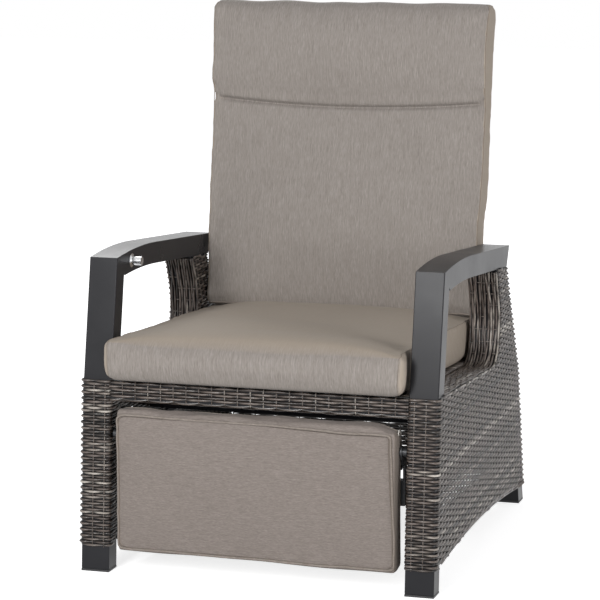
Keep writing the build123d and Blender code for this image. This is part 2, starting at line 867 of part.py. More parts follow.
def lever_plate():
    """Lever plate welded on the end of the hinge tube, with its link pin's hole."""
    plate = tapered_link(hinge, hinge_tube_diameter / 2 + plate_rim / 2, back_link,
                         link_pin_diameter / 2 + plate_rim, back_plate_x,
                         back_plate_x + link_plate_thickness)
    plate -= bar(back_plate_x - overrun, back_plate_x + overrun, *hinge,
                 hinge_pin_diameter + 2 * plate_play)
    return plate - bar(back_plate_x - overrun, back_plate_x + overrun, *back_link, link_pin_diameter)


def hexagon(x_from, y, z, diameter):
    """Six-sided head of a pin across the chair, for a shank of the given diameter."""
    outline = RegularPolygon(diameter / 2 + pin_head, head_sides)
    return extrude(Pos(x_from, y, z) * Rot(0, 90, 0) * outline, pin_head, dir=(1, 0, 0))


def headed_pin(place, x_head, x_end, diameter):
    """Round pin across the chair with a six-sided head on its inner end."""
    return bar(x_head, x_end, *place, diameter) + hexagon(x_head - pin_head, *place, diameter)


def lever_link_pins():
    """Pins through the lever plates that carry the push rods."""
    head = rod_x - rod_gap / 2
    pin = headed_pin(back_link, head, back_plate_x + link_plate_thickness, link_pin_diameter)
    return Compound(children=both(pin))


def push_rod():
    """Flat bar from the lever plate to the hinge plate, with a long eye at its front end."""
    eye = rod_height * rod_eye_share / 2 + rod_slot_play
    rod = tapered_link(back_link, rod_height * rod_eye_share / 2, foot_link, rod_height * rod_eye_share / 2,
                       rod_x, rod_x + rod_thickness)
    waist_from = along(back_link, foot_link, rod_height * rod_waist_share)
    waist_to = along(foot_link, back_link, rod_height * rod_waist_share + rod_slot_play)
    for side in (1, -1):
        upper = beside(waist_from, waist_to, side * rod_height / 2)
        outer = beside(waist_from, waist_to, side * rod_height * rod_eye_share)
        rod -= across(polygon([upper[0], upper[1], outer[1], outer[0]]),
                      rod_x - overrun, rod_x + rod_thickness + overrun)
    rod += bar(rod_x, rod_x + rod_thickness, foot_link[0], foot_link[1] - rod_slot_drop, 2 * eye)
    rod -= bar(rod_x - overrun, rod_x + overrun, *back_link, link_pin_diameter + 2 * pin_play)
    slot_middle = (foot_link[0], foot_link[1] - rod_slot_drop)
    return rod - slot(slot_middle, rod_slot_side_play, rod_slot_play, link_pin_diameter,
                      rod_x - overrun, rod_x + overrun)


def slot(place, side_play, height_play, diameter, x_from, x_to):
    """Upright long hole for a pin across the chair, with play along and across the rod."""
    radius = diameter / 2 + side_play
    cut = block((x_from, x_to), (place[0] - radius, place[0] + radius),
                (place[1] - height_play, place[1] + height_play))
    for side in (1, -1):
        cut += bar(x_from, x_to, place[0], place[1] + side * height_play, 2 * radius)
    return cut


# Footrest, hanging below its pivots when the chair is upright
foot_front_y = front_y - foot_cushion_forward
foot_back_y = foot_front_y + foot_cushion_thickness
foot_frame_y = foot_back_y + soft_gap + weave_thickness


def footrest_frame():
    """Rectangular ring of square tube with slats, welded to the two hinge plates."""
    half, low, high = foot_frame_half_width, foot_frame_low, foot_frame_high
    y_range = (foot_frame_y, foot_frame_y + foot_frame_tube)
    ring = block((-half, half), y_range, (low, high))
    ring = fillet(ring.edges().filter_by(Axis.Y), foot_frame_tube)
    hole = block((foot_frame_tube - half, half - foot_frame_tube),
                 (y_range[0] - overrun, y_range[1] + overrun),
                 (low + foot_frame_tube, high - foot_frame_tube))
    ring -= hole
    pitch = (high - low - foot_frame_tube) / (foot_slat_count + 1)
    for count in range(1, foot_slat_count + 1):
        z = low + foot_frame_tube / 2 + count * pitch
        ring += block((-half + foot_frame_tube / 2, half - foot_frame_tube / 2),
                      (y_range[0] + cross_wall, y_range[1] - cross_wall),
                      (z - foot_frame_tube / 4, z + foot_frame_tube / 4))
    return ring


def footrest_weave():
    """Woven panel on the footrest frame, turned back round its four edges."""
    half, low, high = foot_frame_half_width, foot_frame_low, foot_frame_high
    out = weave_thickness
    shell = block((-half - out, half + out), (foot_frame_y - out, foot_frame_y + foot_frame_tube + out),
                  (low - out, high + out))
    shell = fillet(shell.edges().filter_by(Axis.Y), foot_frame_tube + out)
    inner = block((-half, half), (foot_frame_y, foot_frame_y + foot_frame_tube), (low, high))
    inner = fillet(inner.edges().filter_by(Axis.Y), foot_frame_tube)
    window = foot_frame_tube * 2
    hole = block((window - half, half - window),
                 (foot_frame_y + foot_frame_tube / 2, foot_frame_y + foot_frame_tube + overrun),
                 (low + window, high - window))
    return shell - inner - hole


def footrest_cushion():
    """Box cushion standing on its rear edge, its crown facing forward."""
    height = foot_cushion_high - foot_cushion_low
    body = box_cushion(foot_cushion_half_width, height, foot_cushion_thickness - foot_cushion_crown,
                       foot_cushion_crown, foot_cushion_draw, foot_edge_radius)
    return Pos(0, foot_back_y, foot_cushion_low) * Rot(90, 0, 0) * body


def hinge_plate():
    """Plate beside the cushion: pivot eye, lever arm with its pin's hole and a foot on the frame."""
    x_from, x_to = foot_plate_x, foot_plate_x + link_plate_thickness
    foot_top = foot_pivot_height - foot_lever_length * plate_foot_drop_share
    foot_low = foot_top - foot_lever_length * plate_foot_share
    stem = (foot_frame_y + foot_frame_tube / 2, foot_low + plate_rim)
    plate = tapered_link(foot_pivot, foot_pin_diameter / 2 + plate_rim, foot_link,
                         link_pin_diameter / 2 + plate_rim * plate_eye_share, x_from, x_to)
    plate += tapered_link(foot_link, link_pin_diameter / 2 + plate_rim * plate_eye_share,
                          stem, plate_rim, x_from, x_to)
    flange = block((foot_frame_half_width + weave_thickness, x_to),
                   (foot_frame_y, foot_frame_y + foot_frame_tube), (foot_low, foot_top))
    plate += flange
    plate -= bar(x_from - overrun, x_to + overrun, *foot_pivot, foot_pin_diameter + 2 * pin_play)
    return plate - bar(x_from - overrun, x_to + overrun, *foot_link, link_pin_diameter)


def foot_link_pins():
    pin = headed_pin(foot_link, rod_x - rod_gap / 2, foot_plate_x + link_plate_thickness,
                     link_pin_diameter)
    return Compound(children=both(pin))


def footrest_pivot_pins():
    """Shouldered pins on the front legs that the hinge plates turn on."""
    plate_end = foot_plate_x + link_plate_thickness
    pin = headed_pin(foot_pivot, foot_plate_x - pin_gap, skin_x, foot_pin_diameter)
    pin += bar(plate_end + pin_gap, skin_x, *foot_pivot, foot_pin_diameter + plate_rim)
    return Compound(children=both(pin))


def tie_loops():
    """Elastic loops sewn to the upper rear corners of the footrest cushion."""
    cord = tie_cord_diameter / 2
    loop = RegularPolygon(tie_loop_radius + cord, tie_loop_sides)
    loop -= RegularPolygon(tie_loop_radius - cord, tie_loop_sides)
    loop = Pos(0, 0, -cord) * extrude(loop, tie_cord_diameter)
    loop = chamfer(loop.edges().filter_by(GeomType.LINE).filter_by(Axis.Z, reverse=True), cord / 2)
    x = foot_cushion_half_width + tie_cord_diameter / 2 + soft_gap
    y = foot_back_y - tie_loop_radius - tie_cord_diameter
    z = foot_cushion_high - tie_loop_radius * tie_drop_share
    return Compound(children=both(Pos(x, y, z) * Rot(0, 90, 0) * loop))

# Gas spring between a rail under the seat and a lever on the hinge tube
gas_rail_y = hinge[0] - gas_rail_reach
gas_base = (gas_rail_y + gas_clevis_reach, gas_rail_height)
gas_link = turned(hinge, lever_length, gas_lever_angle)
gas_slope = (gas_link[0] - gas_base[0], gas_link[1] - gas_base[1])
gas_length = hypot(*gas_slope)
gas_place = Pos(0, *gas_base) * Rot(asin(gas_slope[1] / gas_length) * 180 / pi, 0, 0)


def rod_bar(y_from, y_to, diameter):
    """Round bar along the gas spring, measured from its fixed pin."""
    return Pos(0, (y_from + y_to) / 2, 0) * Rot(90, 0, 0) * Cylinder(diameter / 2, y_to - y_from)


def gas_rail():
    """Square tube hung from the seat's side rails, with two ears for the gas spring's pin."""
    y_range = (gas_rail_y - gas_rail_size / 2, gas_rail_y + gas_rail_size / 2)
    rail = square_tube(skin_x - hanger_thickness, y_range[0], gas_rail_height - gas_rail_size / 2,
                       gas_rail_size, cross_wall)
    under_seat = polygon([
        (y_range[0], gas_rail_height - gas_rail_size / 2),
        (y_range[1], gas_rail_height - gas_rail_size / 2),
        (y_range[1], side_rail_bottom(y_range[1])),
        (y_range[0], side_rail_bottom(y_range[0])),
    ])
    for hanger in both(across(under_seat, skin_x - hanger_thickness, skin_x)):
        rail += hanger
    for x in (gas_clevis_gap / 2, -gas_clevis_gap / 2 - gas_clevis_thickness):
        ear = bar(x, x + gas_clevis_thickness, *gas_base, gas_rail_size)
        ear += block((x, x + gas_clevis_thickness), (y_range[1] - cross_wall / 2, gas_base[0]),
                     (gas_rail_height - gas_rail_size / 2, gas_rail_height + gas_rail_size / 2))
        rail += ear - bar(x - overrun, x + overrun, *gas_base, gas_pin_diameter)
    return rail


def side_rail_bottom(y):
    return seat_top - seat_drop(y) - deck_thickness - cross_tube


def gas_pin():
    reach = gas_clevis_gap / 2 + gas_clevis_thickness
    pin = bar(-reach, reach, *gas_base, gas_pin_diameter)
    for x in (reach, -reach - pin_head):
        pin += hexagon(x, *gas_base, gas_pin_diameter)
    return pin


def gas_cylinder():
    """Cylinder with the eye at its fixed end and an open bore for the rod."""
    half = gas_eye_width / 2
    start = gas_rail_size / 2 + pin_head
    body = rod_bar(start, gas_cylinder_length, gas_cylinder_diameter)
    body += rod_bar(0, start, gas_rod_diameter + pin_head) + bar(-half, half, 0, 0, gas_eye_diameter)
    body -= bar(-half - overrun, half + overrun, 0, 0, gas_pin_diameter + 2 * pin_play)
    body -= rod_bar(start + gas_cylinder_end, gas_cylinder_length + overrun,
                    gas_rod_diameter + 2 * gas_rod_play)
    return gas_place * body


def gas_rod():
    """Rod with its release head and the eye round the backrest's pin."""
    half = gas_eye_width / 2
    head_end = gas_length - gas_eye_diameter / 2
    rod = rod_bar(gas_cylinder_length - gas_rod_inside, gas_length, gas_rod_diameter)
    rod += block((-half, half), (head_end - release_block_length, gas_length),
                 (-release_block_height / 2, release_block_height / 2))
    rod += bar(-half, half, gas_length, 0, release_block_height)
    rod -= slot((gas_length + gas_eye_reach, -gas_eye_drop), gas_eye_side_play, gas_eye_play,
                gas_pin_diameter, -half - overrun, half + overrun)
    groove = release_lever_width / 2 + release_side_gap
    lever_z = release_block_height / 2
    pivot_y = head_end - release_block_length / 2
    ears = block((-half, half), (pivot_y - release_pin_diameter, pivot_y + release_pin_diameter),
                 (lever_z, lever_z + 2 * release_pin_diameter))
    ears -= block((-groove, groove), (pivot_y - overrun, pivot_y + overrun),
                  (lever_z, lever_z + overrun))
    rod += ears
    rod += bar(-half, half, pivot_y, lever_z + release_pin_diameter, release_pin_diameter)
    return gas_place * rod


def release_lever():
    """Small lever over the gas spring's valve, pulled by the push button."""
    half = release_lever_width / 2
    lever_z = release_block_height / 2 + release_pin_diameter
    head_end = gas_length - gas_eye_diameter / 2
    pivot_y = head_end - release_block_length / 2
    hub = bar(-half, half, pivot_y, lever_z, 2 * release_pin_diameter - release_side_gap)
    tongue = block((-half, half), (pivot_y - release_lever_length, pivot_y),
                   (lever_z + release_pin_diameter - release_side_gap / 2 - release_lever_thickness,
                    lever_z + release_pin_diameter - release_side_gap / 2))
    lever = hub + tongue
    return gas_place * (lever - bar(-half - overrun, half + overrun, pivot_y, lever_z,
                                    release_pin_diameter + 2 * pin_play))


def gas_fork():
    """Two cheeks on the middle of the hinge tube that carry the gas spring's rod."""
    cheeks = []
    for x in (gas_clevis_gap / 2, -gas_clevis_gap / 2 - gas_clevis_thickness):
        cheek = tapered_link(hinge, hinge_tube_diameter / 2 + plate_rim / 2, gas_link,
                             gas_pin_diameter / 2 + plate_rim, x, x + gas_clevis_thickness, False)
        cheek -= bar(x - overrun, x + overrun, *hinge, hinge_tube_diameter)
        cheeks.append(cheek - bar(x - overrun, x + overrun, *gas_link, gas_pin_diameter))
    return cheeks


def gas_lever_pin():
    reach = gas_clevis_gap / 2 + gas_clevis_thickness
    return bar(-reach, reach, *gas_link, gas_pin_diameter)


def turned_profile(points, place):
    """Round piece whose axis points inward from the right arm's inner wall."""
    outline = make_face(Polyline(*[(radius, 0, depth) for radius, depth in points], close=True))
    return Pos(-inner_x, *place) * Rot(0, 90, 0) * revolve(outline, Axis.Z)


def button_bezel():
    """Conical ring on the arm's inner wall with the sleeve that guides the button."""
    bore = button_diameter / 2 + button_play
    return turned_profile([
        (bore, -bezel_sleeve_length),
        (bezel_sleeve / 2, -bezel_sleeve_length),
        (bezel_sleeve / 2, 0),
        (bezel_diameter / 2, 0),
        (bore, bezel_thickness),
    ], button_place())


def release_button():
    """Chromed button with a dished end and a collar that keeps it in the sleeve."""
    radius = button_diameter / 2
    collar = -bezel_sleeve_length - pin_gap
    return turned_profile([
        (0, collar - button_collar),
        (bezel_sleeve / 2, collar - button_collar),
        (bezel_sleeve / 2, collar),
        (radius, collar),
        (radius, bezel_thickness + button_proud),
        (0, bezel_thickness + button_proud - button_dish),
    ], button_place())


def right_arm():
    hole = bar(-inner_x - tube_wall - overrun / 2, -inner_x + overrun, *button_place(), bezel_sleeve)
    return mirror(arm(), Plane.YZ) - hole


side_frame = side_frame_face()


def passing_solids():
    """Solids that the side weave is open for: legs and cross rails."""
    y, z = rear_rail_place()
    return leg_spaces() + [
        block((0, inner_x), (apron_front + weave_thickness, apron_rear - weave_thickness),
              (apron_bottom + weave_thickness, apron_top - weave_thickness)),
        block((0, inner_x), (y, y + cross_tube), (z, z + cross_tube)),
    ]


def pair(name, solid):
    """The two mirrored nodes of a piece that the chair has on both sides."""
    left, right = both(solid)
    return {name + "_left": left, name + "_right": right}


def build():
    rim_tube, side_rail = side_tubes()
    pieces = {
        "arm_left": arm(),
        "arm_right": right_arm(),
        "foot_glides": foot_glides(),
        "arm_end_caps": arm_end_caps(),
        "front_seat_rail": front_seat_rail(),
        "front_apron_weave": front_apron_weave(),
        "rear_seat_rail": rear_seat_rail(),
        "seat_deck_weave": seat_deck(),
        "seat_cushion": seat_cushion(),
        "rear_lower_rail": rear_lower_rail(),
        "rear_panel_weave": rear_panel_weave(),
        "gas_spring_rail": gas_rail(),
        "gas_spring_pin": gas_pin(),
        "back_hinge_brackets": hinge_brackets(),
        "back_hinge_pins": hinge_pins(),
        "footrest_pivot_pins": footrest_pivot_pins(),
        "button_bezel": button_bezel(),
        "release_button": release_button(),
        "backrest_frame": backrest_frame(),
        "backrest_weave": backrest_weave(),
        "back_hinge_bushes": hinge_bushes(),
        "back_cushion": back_cushion(),
        "back_cushion_strap": cushion_strap(),
        "back_lever_plates": Compound(children=both(lever_plate()) + gas_fork()),
        "lever_link_pins": lever_link_pins(),
        "gas_lever_pin": gas_lever_pin(),
        "footrest_frame": footrest_frame(),
        "footrest_weave": footrest_weave(),
        "footrest_cushion": footrest_cushion(),
        "footrest_tie_loops": tie_loops(),
        "footrest_hinge_plates": Compound(children=both(hinge_plate())),
        "footrest_link_pins": foot_link_pins(),
        "gas_cylinder": gas_cylinder(),
        "gas_rod": gas_rod(),
        "release_lever": release_lever(),
    }
    pieces.update(pair("front_leg", front_leg()))
    pieces.update(pair("rear_leg", rear_leg()))
    pieces.update(pair("rim_tube", rim_tube))
    pieces.update(pair("lower_side_rail", side_rail))
    pieces.update(pair("side_weave", side_weave(passing_solids())))
    pieces.update(pair("seat_side_rail", seat_side_rail()))
    pieces.update(pair("push_rod", push_rod()))
    return pieces


for name, piece in build().items():
    export_step(piece, "parts/" + name + ".step")
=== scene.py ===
from contextlib import contextmanager
from math import atan2, cos, hypot, pi, radians, sin, sqrt, tan

import bpy
import bmesh
import numpy as np
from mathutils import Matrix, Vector, noise
from mathutils.bvhtree import BVHTree


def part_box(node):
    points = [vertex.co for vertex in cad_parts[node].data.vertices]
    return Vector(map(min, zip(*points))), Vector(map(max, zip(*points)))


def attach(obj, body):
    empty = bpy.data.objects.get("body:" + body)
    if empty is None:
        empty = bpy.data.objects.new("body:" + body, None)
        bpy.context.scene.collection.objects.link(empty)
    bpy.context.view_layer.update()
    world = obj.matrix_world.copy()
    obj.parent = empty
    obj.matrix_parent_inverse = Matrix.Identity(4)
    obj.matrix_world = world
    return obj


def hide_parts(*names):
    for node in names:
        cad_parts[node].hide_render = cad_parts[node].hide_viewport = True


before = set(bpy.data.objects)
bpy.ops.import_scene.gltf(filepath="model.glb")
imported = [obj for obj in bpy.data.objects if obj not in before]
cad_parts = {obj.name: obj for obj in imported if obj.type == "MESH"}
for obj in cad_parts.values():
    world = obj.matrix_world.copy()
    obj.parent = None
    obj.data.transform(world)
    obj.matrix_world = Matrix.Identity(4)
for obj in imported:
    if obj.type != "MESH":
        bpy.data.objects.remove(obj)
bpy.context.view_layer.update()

# Lengths below are in metres. The sitter's left is +X, the chair faces -Y.
MM = 0.001

CAMERA_PLACE = (1.5013, -5.1231, 1.3988)
CAMERA_TILT, CAMERA_TURN = radians(80.4154), radians(16.5988)
FLOOR_HALF = 14

# Soft boxes: place, aimed-at point, size and power in watts.
LAMPS = {
    "key": ((-0.75, -5.0, 2.1), (0, 0, 0.5), (1.1, 1.9), 170),
    "side": ((4.2, -1.9, 1.6), (0, 0, 0.5), (2.0, 2.4), 70),
    "rear": ((-1.5, 4.0, 3.2), (0, 0, 0.6), (2.4, 2.0), 80),
}


def placed(name, data):
    """New object of a camera, lamp or mesh, linked to the scene."""
    piece = bpy.data.objects.new(name, data)
    bpy.context.scene.collection.objects.link(piece)
    return piece


def add_camera():
    """Camera where the photograph was taken from."""
    data = bpy.data.cameras.new("camera")
    data.sensor_width = 36
    data.lens = 157.509
    camera = placed("camera", data)
    camera.location = CAMERA_PLACE
    camera.rotation_euler = (CAMERA_TILT, 0, CAMERA_TURN)
    bpy.context.scene.camera = camera


def linear(text):
    """Linear colour from an sRGB hex string."""
    parts = [int(text[start:start + 2], 16) / 255 for start in (0, 2, 4)]
    return tuple(p / 12.92 if p <= 0.04045 else ((p + 0.055) / 1.055) ** 2.4 for p in parts) + (1,)


class Tree:
    """Node tree of one material or world."""

    def __init__(self, owner):
        owner.use_nodes = True
        self.owner, self.nodes, self.links = owner, owner.node_tree.nodes, owner.node_tree.links

    def feed(self, node, inputs):
        """Sets or links the inputs of a node."""
        for name, value in inputs.items():
            if isinstance(value, bpy.types.NodeSocket):
                self.links.new(value, node.inputs[name])
            else:
                node.inputs[name].default_value = value

    def add(self, kind, inputs=None, stops=(), **settings):
        """Adds a node with inputs, ramp stops (place, colour) and settings; gives its outputs."""
        node = self.nodes.new("ShaderNode" + kind)
        for name, value in settings.items():
            setattr(node, name, value)
        for index, (place, colour) in enumerate(stops):
            elements = node.color_ramp.elements
            element = elements[index] if index < 2 else elements.new(1.0)
            element.position = place
            element.color = linear(colour) if isinstance(colour, str) else (colour,) * 3 + (1,)
        self.feed(node, inputs or {})
        return node.outputs


def material(name, **surface):
    """New material; surface gives the constants set on the shader's own sockets."""
    tree = Tree(bpy.data.materials.new(name))
    tree.surface = tree.nodes["Principled BSDF"]
    tree.feed(tree.surface, {key.replace("_", " "): value for key, value in surface.items()})
    tree.place = tree.add("TexCoord")["Object"]
    return tree


def white_where_seen(tree, lit, seen, output):
    """Shows one shader to the camera, mirrors and glass, and lets the other light the chair."""
    path = tree.add("LightPath")
    direct = path["Is Camera Ray"]
    for ray in ("Is Glossy Ray", "Is Transmission Ray"):
        direct = tree.add("Math", {0: direct, 1: path[ray]}, operation="MAXIMUM")[0]
    tree.add(output, {"Surface": tree.add("MixShader", {0: direct, 1: lit, 2: seen})[0]})


def add_studio():
    """White surroundings, a pale floor that keeps the shadow, and soft lamps."""
    world = bpy.data.worlds.new("studio")
    bpy.context.scene.world = world
    tree = Tree(world)
    tree.nodes.clear()
    dim = tree.add("Background", {"Color": linear("F4F5F8"), "Strength": 0.34})[0]
    white = tree.add("Background", {"Color": linear("FFFFFF"), "Strength": 1.0})[0]
    white_where_seen(tree, dim, white, "OutputWorld")

    tree = Tree(bpy.data.materials.new("pale_floor"))
    tree.nodes.clear()
    matt = tree.add("BsdfDiffuse", {"Color": linear("E7E7E7")})[0]
    glow = tree.add("Emission", {"Color": linear("FFFFFF"), "Strength": 0.76})[0]
    lit = tree.add("AddShader", {0: matt, 1: glow})[0]
    white_where_seen(tree, matt, lit, "OutputMaterial")
    corners = np.array([(-1, -1, 0), (1, -1, 0), (1, 1, 0), (-1, 1, 0)]) * FLOOR_HALF
    smooth_piece("floor", corners, [(0, 1, 2, 3)], tree.owner)

    for name, (place, aim, size, power) in LAMPS.items():
        data = bpy.data.lights.new(name, "AREA")
        data.shape = "RECTANGLE"
        data.size, data.size_y = size
        data.energy = power
        lamp = placed(name, data)
        lamp.location = place
        lamp.rotation_euler = (Vector(aim) - Vector(place)).to_track_quat("-Z", "Y").to_euler()


def powder_coat():
    """Anthracite powder coat on the aluminium tubes: near black, satin, with a fine orange peel."""
    s = material("anthracite_powder_coat", IOR=1.5, Specular_IOR_Level=0.18)
    peel = s.add("TexNoise", {"Vector": s.place, "Scale": 1 / (0.667 * MM)})[0]
    cloud = s.add("TexNoise", {"Vector": s.place, "Scale": 1 / (111 * MM), "Detail": 3})[0]
    s.feed(s.surface, {
        "Base Color": s.add("ValToRGB", {"Fac": cloud}, [(0.3, "1F1F22"), (0.7, "252528")])[0],
        "Roughness": s.add("ValToRGB", {"Fac": cloud}, [(0.3, 0.27), (0.7, 0.35)])[0],
        "Normal": s.add("Bump", {"Height": peel, "Distance": 0.05 * MM, "Strength": 0.5})[0],
    })
    return s.owner


# Shades of the rattan's strands, from the darkest to the palest.
RATTAN_SHADES = [(0.02, "221C18"), (0.25, "443A34"), (0.45, "6E645D"), (0.62, "554943"),
                 (0.80, "9A9188"), (1.0, "CFC8BE")]


def wicker():
    """Extruded half-round rattan: satin strands of many greys and browns, streaked along.

    The strands carry their shade (tone), the place along and across them, and how far they
    stand out (crown), by which a painted shade darkens their edges and the places where they dip
    behind a stake.
    """
    s = material("half_round_rattan", IOR=1.46, Specular_IOR_Level=0.55)
    tone, along, across, crown = (s.add("Attribute", attribute_name=name)["Fac"]
                                  for name in ("tone", "along", "across", "crown"))
    strand = s.add("Math", {0: tone, 1: 83}, operation="MULTIPLY")[0]
    slow_run = s.add("Math", {0: along, 1: 1 / (71.4 * MM)}, operation="MULTIPLY")[0]
    fine_run = s.add("Math", {0: along, 1: 1 / (18.2 * MM)}, operation="MULTIPLY")[0]
    beside = s.add("Math", {0: across, 1: 3.2}, operation="MULTIPLY")[0]
    slow = s.add("CombineXYZ", {0: slow_run, 1: strand})[0]
    streak = s.add("CombineXYZ", {0: fine_run, 1: beside, 2: strand})[0]
    drift = s.add("TexNoise", {"Vector": slow, "Scale": 1})[0]
    lines = s.add("TexNoise", {"Vector": streak, "Scale": 1, "Detail": 3})[0]
    drifting = s.add("Math", {0: drift, 1: 0.8, 2: tone}, operation="MULTIPLY_ADD")[0]
    streaked = s.add("Math", {0: lines, 1: 0.5, 2: drifting}, operation="MULTIPLY_ADD")[0]
    shade = s.add("Math", {0: streaked, 1: 0.65}, operation="SUBTRACT")[0]
    colour = s.add("ValToRGB", {"Fac": shade}, RATTAN_SHADES)[0]
    # Painted shade: by the crown attribute, the colour is mixed toward near black 0D0B0A on the
    # strands' edges and where they dip.
    painted_dip_shade = s.add("ValToRGB", {"Fac": crown}, [(0.0, 0.95), (0.5, 0.5), (0.92, 0.0)])[0]
    s.feed(s.surface, {
        "Base Color": s.add("Mix", {0: painted_dip_shade, 6: colour, 7: linear("0D0B0A")},
                            data_type="RGBA")[2],
        "Roughness": s.add("ValToRGB", {"Fac": lines}, [(0.3, 0.25), (0.7, 0.42)])[0],
        "Normal": s.add("Bump", {"Height": lines, "Distance": 0.25 * MM, "Strength": 0.7})[0],
    })
    return s.owner


def cloth(name, runs, shades, flank_painted_light, top_painted_light=None):
    """Mottled woven polyester, matt with fine slubs that run upward or level.

    shades are the dark, middle and light thread; the flanks and the top get a painted tint by
    the way they face: painted light that stands for how the lamps fall on them. The slubs are drawn
    coarser than the real 0.3 mm thread, which is too fine to show.
    """
    s = material(name, IOR=1.4, Specular_IOR_Level=0.3, Sheen_Weight=0.06, Sheen_Roughness=0.5)
    dark, middle, light = shades
    normal = s.add("SeparateXYZ", {0: s.add("NewGeometry")["Normal"]})
    # side marks the flanks by their facing; it turns the slubs there, and carries the painted light
    # on the flanks below.
    sideways = s.add("Math", {0: normal["X"]}, operation="ABSOLUTE")[0]
    side = s.add("ValToRGB", {"Fac": sideways}, [(0.35, 0.0), (0.62, 1.0)])[0]

    def threads(width, length):
        """Long spots of the given width and length, turned to suit front and flank."""
        fine, slow = 1 / width, 1 / length
        front = (fine, slow, slow) if runs == "up" else (slow * 1.8, fine * 0.6, fine)
        flank = (slow, fine, slow) if runs == "up" else (slow, slow, fine)
        spots = []
        for scale in (front, flank):
            vector = s.add("VectorMath", {0: s.place, 1: scale}, operation="MULTIPLY")[0]
            spots.append(s.add("TexNoise", {"Vector": vector, "Scale": 1})[0])
        return s.add("Mix", {0: side, 6: spots[0], 7: spots[1]}, data_type="RGBA")[2]

    slubs, broad = threads(0.667 * MM, 10.5 * MM), threads(1.79 * MM, 29.4 * MM)
    mottle = s.add("TexNoise", {"Vector": s.place, "Scale": 1 / (71.4 * MM), "Detail": 3})[0]
    weave = s.add("TexNoise", {"Vector": s.place, "Scale": 1 / (0.77 * MM), "Detail": 1})[0]
    narrow = s.add("Math", {0: slubs, 1: 0.62}, operation="MULTIPLY")[0]
    tint = s.add("Math", {0: broad, 1: 0.38, 2: narrow}, operation="MULTIPLY_ADD")[0]
    colour = s.add("ValToRGB", {"Fac": tint}, [(0.3, dark), (0.5, middle), (0.7, light)])[0]
    clouded = s.add("ValToRGB", {"Fac": mottle}, [(0.3, 0.10), (0.7, 0.0)])[0]
    colour = s.add("Mix", {0: clouded, 6: colour, 7: linear(dark)}, data_type="RGBA")[2]
    # Painted light: the flanks are mixed toward the flanks' painted tint, and the top toward the
    # top's painted tint; both stand for how the lamps fall on them.
    share = s.add("Math", {0: side, 1: 0.7}, operation="MULTIPLY")[0]
    colour = s.add("Mix", {0: share, 6: colour, 7: linear(flank_painted_light)}, data_type="RGBA")[2]
    if top_painted_light:
        above = s.add("ValToRGB", {"Fac": normal["Z"]}, [(0.66, 0.0), (0.96, 0.72)])[0]
        colour = s.add("Mix", {0: above, 6: colour, 7: linear(top_painted_light)}, data_type="RGBA")[2]
    low = s.add("Math", {0: weave, 1: 0.4}, operation="MULTIPLY")[0]
    height = s.add("Math", {0: slubs, 1: 0.6, 2: low}, operation="MULTIPLY_ADD")[0]
    s.feed(s.surface, {
        "Base Color": colour,
        "Roughness": s.add("ValToRGB", {"Fac": slubs}, [(0.3, 0.78), (0.7, 0.92)])[0],
        "Normal": s.add("Bump", {"Height": height, "Distance": 0.35 * MM, "Strength": 0.55})[0],
    })
    return s.owner


def hard_finish(name, dark, light, rough, grain, depth, metallic=0.0, coat=0.0):
    """Hard surface, a little cloudy in colour and gloss; grain and depth are its texture's."""
    s = material(name, Metallic=metallic, Coat_Weight=coat)
    cloud = s.add("TexNoise", {"Vector": s.place, "Scale": 1 / (25 * MM), "Detail": 3})[0]
    fine = s.add("TexNoise", {"Vector": s.place, "Scale": 1 / grain})[0]
    s.feed(s.surface, {
        "Base Color": s.add("ValToRGB", {"Fac": cloud}, [(0.3, dark), (0.7, light)])[0],
        "Roughness": s.add("ValToRGB", {"Fac": cloud},
                           [(0.3, rough * 0.85), (0.7, rough * 1.15)])[0],
        "Normal": s.add("Bump", {"Height": fine, "Distance": depth, "Strength": 0.5})[0],
    })
    return s.owner


def webbing():
    """Woven polypropylene webbing: matt black, with ribs 0.75 mm apart across the band."""
    s = material("dark_webbing", IOR=1.45)
    ribs = s.add("TexWave", {"Vector": s.place, "Scale": 2 * pi / 20 / (0.748 * MM),
                             "Distortion": 1.2, "Detail": 1.0}, bands_direction="Z")["Fac"]
    fuzz = s.add("TexNoise", {"Vector": s.place, "Scale": 1 / (1.11 * MM)})[0]
    s.feed(s.surface, {
        "Base Color": s.add("ValToRGB", {"Fac": ribs}, [(0.1, "1B1B1D"), (0.9, "38383B")])[0],
        "Roughness": s.add("ValToRGB", {"Fac": fuzz}, [(0.3, 0.6), (0.7, 0.8)])[0],
        "Normal": s.add("Bump", {"Height": ribs, "Distance": 0.3 * MM, "Strength": 0.7})[0],
    })
    return s.owner


# Woven skins: sizes of the strands, of the stakes that they pass and of their way over and under.
STRAND_WIDTH = 5.0 * MM
STRAND_THICK = 3.0 * MM
ROW_PITCH = 5.95 * MM
STAKE_PITCH = 26 * MM
STAKE_WIDTH = 2.9 * MM
STAKE_THICK = 2.4 * MM
BULGE = 1.6 * MM
MIDDLE = 1.4 * MM
SKIN = 3.5 * MM
TURN = 6 * MM

# The woven sides: their skins' places in X, the stakes on each, and heights of the front leg.
SIDE_OUT, SIDE_IN = 0.360, 0.302
OUTER_STAKES, INNER_STAKES, END_STAKES = 30, 29, 2.5
SIDE_BULGE, SIDE_STRAND_WIDTH, SIDE_ROUNDNESS = 2.0 * MM, 4.9 * MM, 0.65
BAND_STRANDS = 12
LEG_TOP, LEG_MIDDLE = 0.340, 0.240

# Sections of a strand across its width and thickness: half round, and flat on both sides.
HALF_ROUND = np.array([(-0.5, 0.0), (-0.40, 0.62), (0.0, 1.0), (0.40, 0.62), (0.5, 0.0)])
LENS = np.array([(-0.5, 0.0), (-0.3, 0.8), (0.3, 0.8), (0.5, 0.0), (0.3, -0.8), (-0.3, -0.8)])


